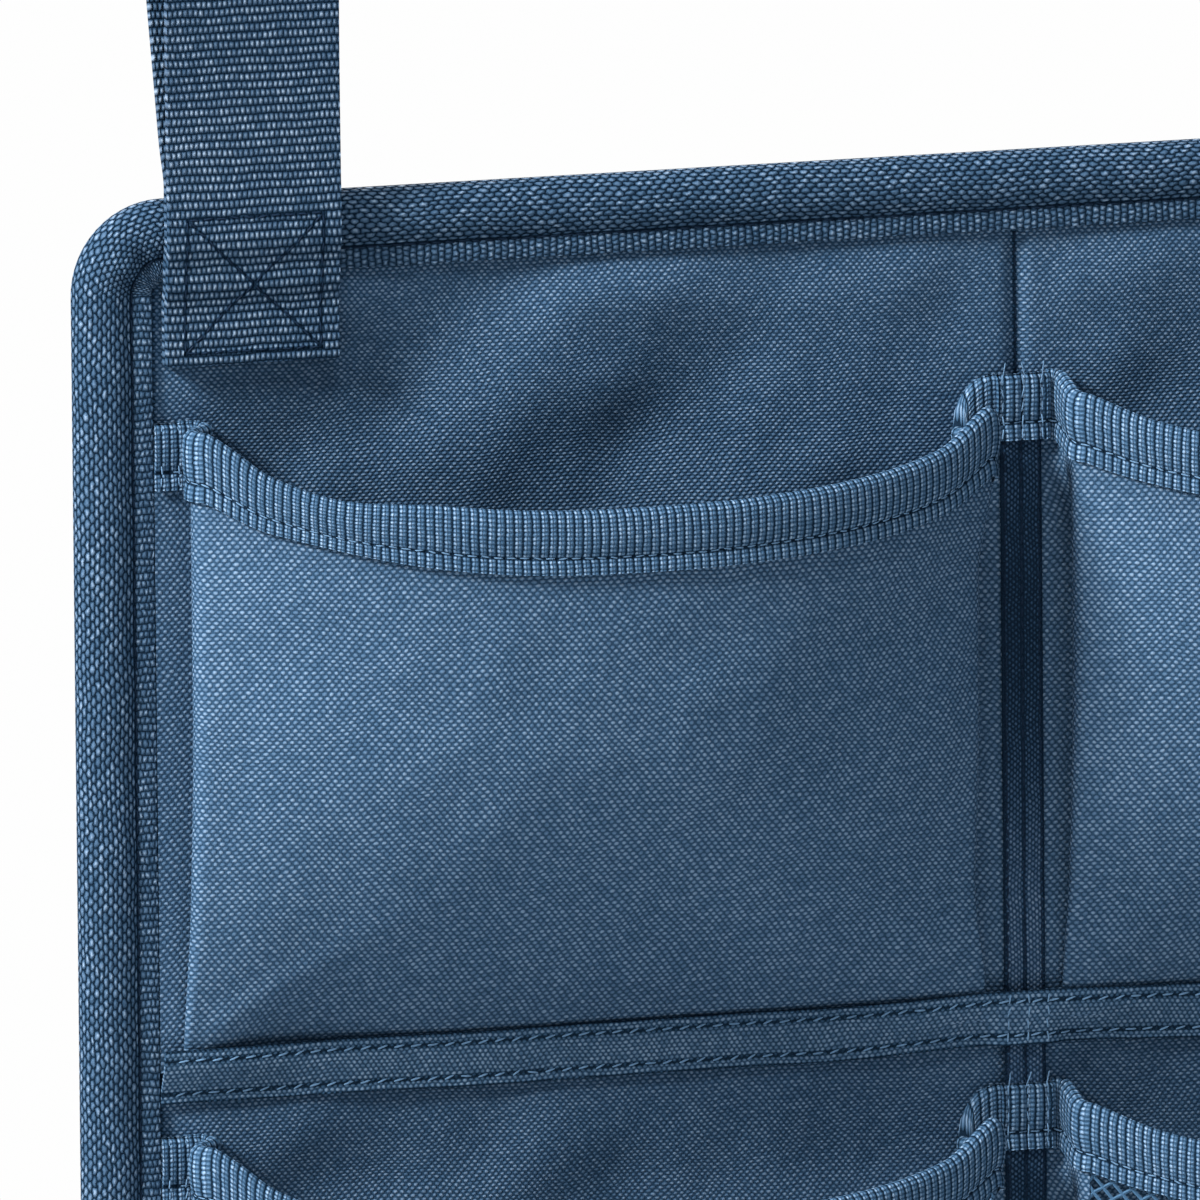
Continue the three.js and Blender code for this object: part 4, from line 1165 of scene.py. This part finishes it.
for side_name, side in SIDES.items():
    thread = Thread(60 + side)
    cloth = strap_cloths[side_name]

    def spot(along, across):
        column = (across + WEBBING_WIDTH / 2) / WEBBING_WIDTH * (cloth.grid.shape[1] - 1)
        return cloth.at(np.interp(along, run, np.arange(len(run))), column)

    low, high, edge = BOX_MIDDLE - BOX_HALF_LONG, BOX_MIDDLE + BOX_HALF_LONG, BOX_HALF_WIDE
    a, b, c, d = (low, -edge), (low, edge), (high, edge), (high, -edge)
    t = np.linspace(0, 1, 24)
    for start, end in ((a, b), (b, c), (c, d), (d, a), (a, c), (d, b)):
        thread.along(*spot(*(between(p, q, t) for p, q in zip(start, end))), pitch=2.9, radius=0.19)
    settle(thread.build(f"{side_name}_strap_stitches", THREAD), "webbing")

thread = Thread(70)
x = np.linspace(-BAY_EDGE, BAY_EDGE, 90)
lines = [(x, tape_top(row) - drop) for row in range(ROW_COUNT) for drop in ROW_SEAMS]
lines.append((0.0, np.linspace(-BINDING_WIDTH, BINDING_WIDTH - PANEL_HEIGHT, 120)))
for x, z in lines:
    thread.straight(x, -FACE_DEPTH - 0.1, z, 1.0, pitch=2.6)
settle(thread.build("back_stitches", THREAD), "lining")


# Stage: floor, background, light and camera

WHITE = (0.99, 0.99, 0.99, 1)


def white_where_seen(g, kind, output):
    """Shows white to the camera, in reflections and through things, and the lit shader to all other light."""
    white = g.node(kind, Color=WHITE)
    path = g.node("LightPath").outputs
    seen = path["Is Camera Ray"]
    for other in ("Is Glossy Ray", "Is Transmission Ray"):
        seen = g.math("MAXIMUM", seen, path[other])
    mix = g.node("MixShader", Fac=seen)
    g.links.new(g.shader.outputs[0], mix.inputs[1])
    g.links.new(white.outputs[0], mix.inputs[2])
    g.links.new(mix.outputs[0], g.nodes[output].inputs["Surface"])


bpy.ops.mesh.primitive_plane_add(size=14, location=(0, 0, -0.80))
floor = bpy.context.object
floor.name = "floor"
g = Graph(bpy.data.materials.new("floor"))
g.shader.inputs["Base Color"].default_value = (0.8, 0.8, 0.8, 1)
g.shader.inputs["Roughness"].default_value = 0.9
white_where_seen(g, "Emission", "Material Output")
floor.data.materials.append(g.owner)

bpy.context.scene.world = bpy.data.worlds.new("studio")
g = Graph(bpy.context.scene.world, "Background")
g.shader.inputs["Color"].default_value = (0.66, 0.85, 1.0, 1)
g.shader.inputs["Strength"].default_value = 0.19
white_where_seen(g, "Background", "World Output")


def put_in_scene(name, data, position, back, roll=0.0):
    """Adds a lamp or camera at a place, facing away from `back` and turned by a roll in degrees."""
    back = np.array(back, float) / np.linalg.norm(back)
    right = np.cross([0, 0, 1], back)
    right /= np.linalg.norm(right)
    up = np.cross(back, right)
    turn = math.radians(roll)
    matrix = np.eye(4)
    matrix[:3, 0] = right * math.cos(turn) + up * math.sin(turn)
    matrix[:3, 1] = up * math.cos(turn) - right * math.sin(turn)
    matrix[:3, 2], matrix[:3, 3] = back, position
    made = bpy.data.objects.new(name, data)
    made.matrix_world = Matrix(matrix.tolist())
    bpy.context.scene.collection.objects.link(made)
    return made


def area_light(name, position, aim, size, power, colour=(1, 1, 1)):
    data = bpy.data.lights.new(name, "AREA")
    data.shape = "DISK"
    data.size = size
    data.energy = power
    data.color = colour
    put_in_scene(name, data, position, np.subtract(position, aim))


area_light("key", (-2.6, -0.66, 1.5), (0, 0, -0.3), 0.7, 312, (1.0, 0.95, 0.9))
area_light("front", (0.3, -2.6, 0.9), (0, 0, -0.3), 1.6, 11)
area_light("top", (-0.3, -0.5, 2.0), (0, 0, -0.2), 0.8, 54, (1.0, 0.97, 0.94))
area_light("rear", (0.4, 2.0, 0.9), (0, 0, -0.3), 1.6, 22)


def set_camera(azimuth, elevation, roll, distance, target, focal_px, frame_px=1200):
    """The photograph's camera: angles in degrees, and distance and target in millimetres on the panel."""
    az, el = math.radians(azimuth), math.radians(elevation)
    back = np.array([math.sin(az) * math.cos(el), -math.cos(az) * math.cos(el), math.sin(el)])
    position = (np.array([target[0], 0, target[1] - HANG_HEIGHT]) + back * distance) * MM
    data = bpy.data.cameras.new("camera")
    data.lens = data.sensor_width * focal_px / frame_px
    data.clip_start, data.clip_end = 0.05, 30
    bpy.context.scene.camera = put_in_scene("camera", data, position, back, roll)


set_camera(-18, 9.15, -0.53, 9000, (-92.7, -91.2), 42572)
bpy.context.scene.view_settings.view_transform = "Standard"
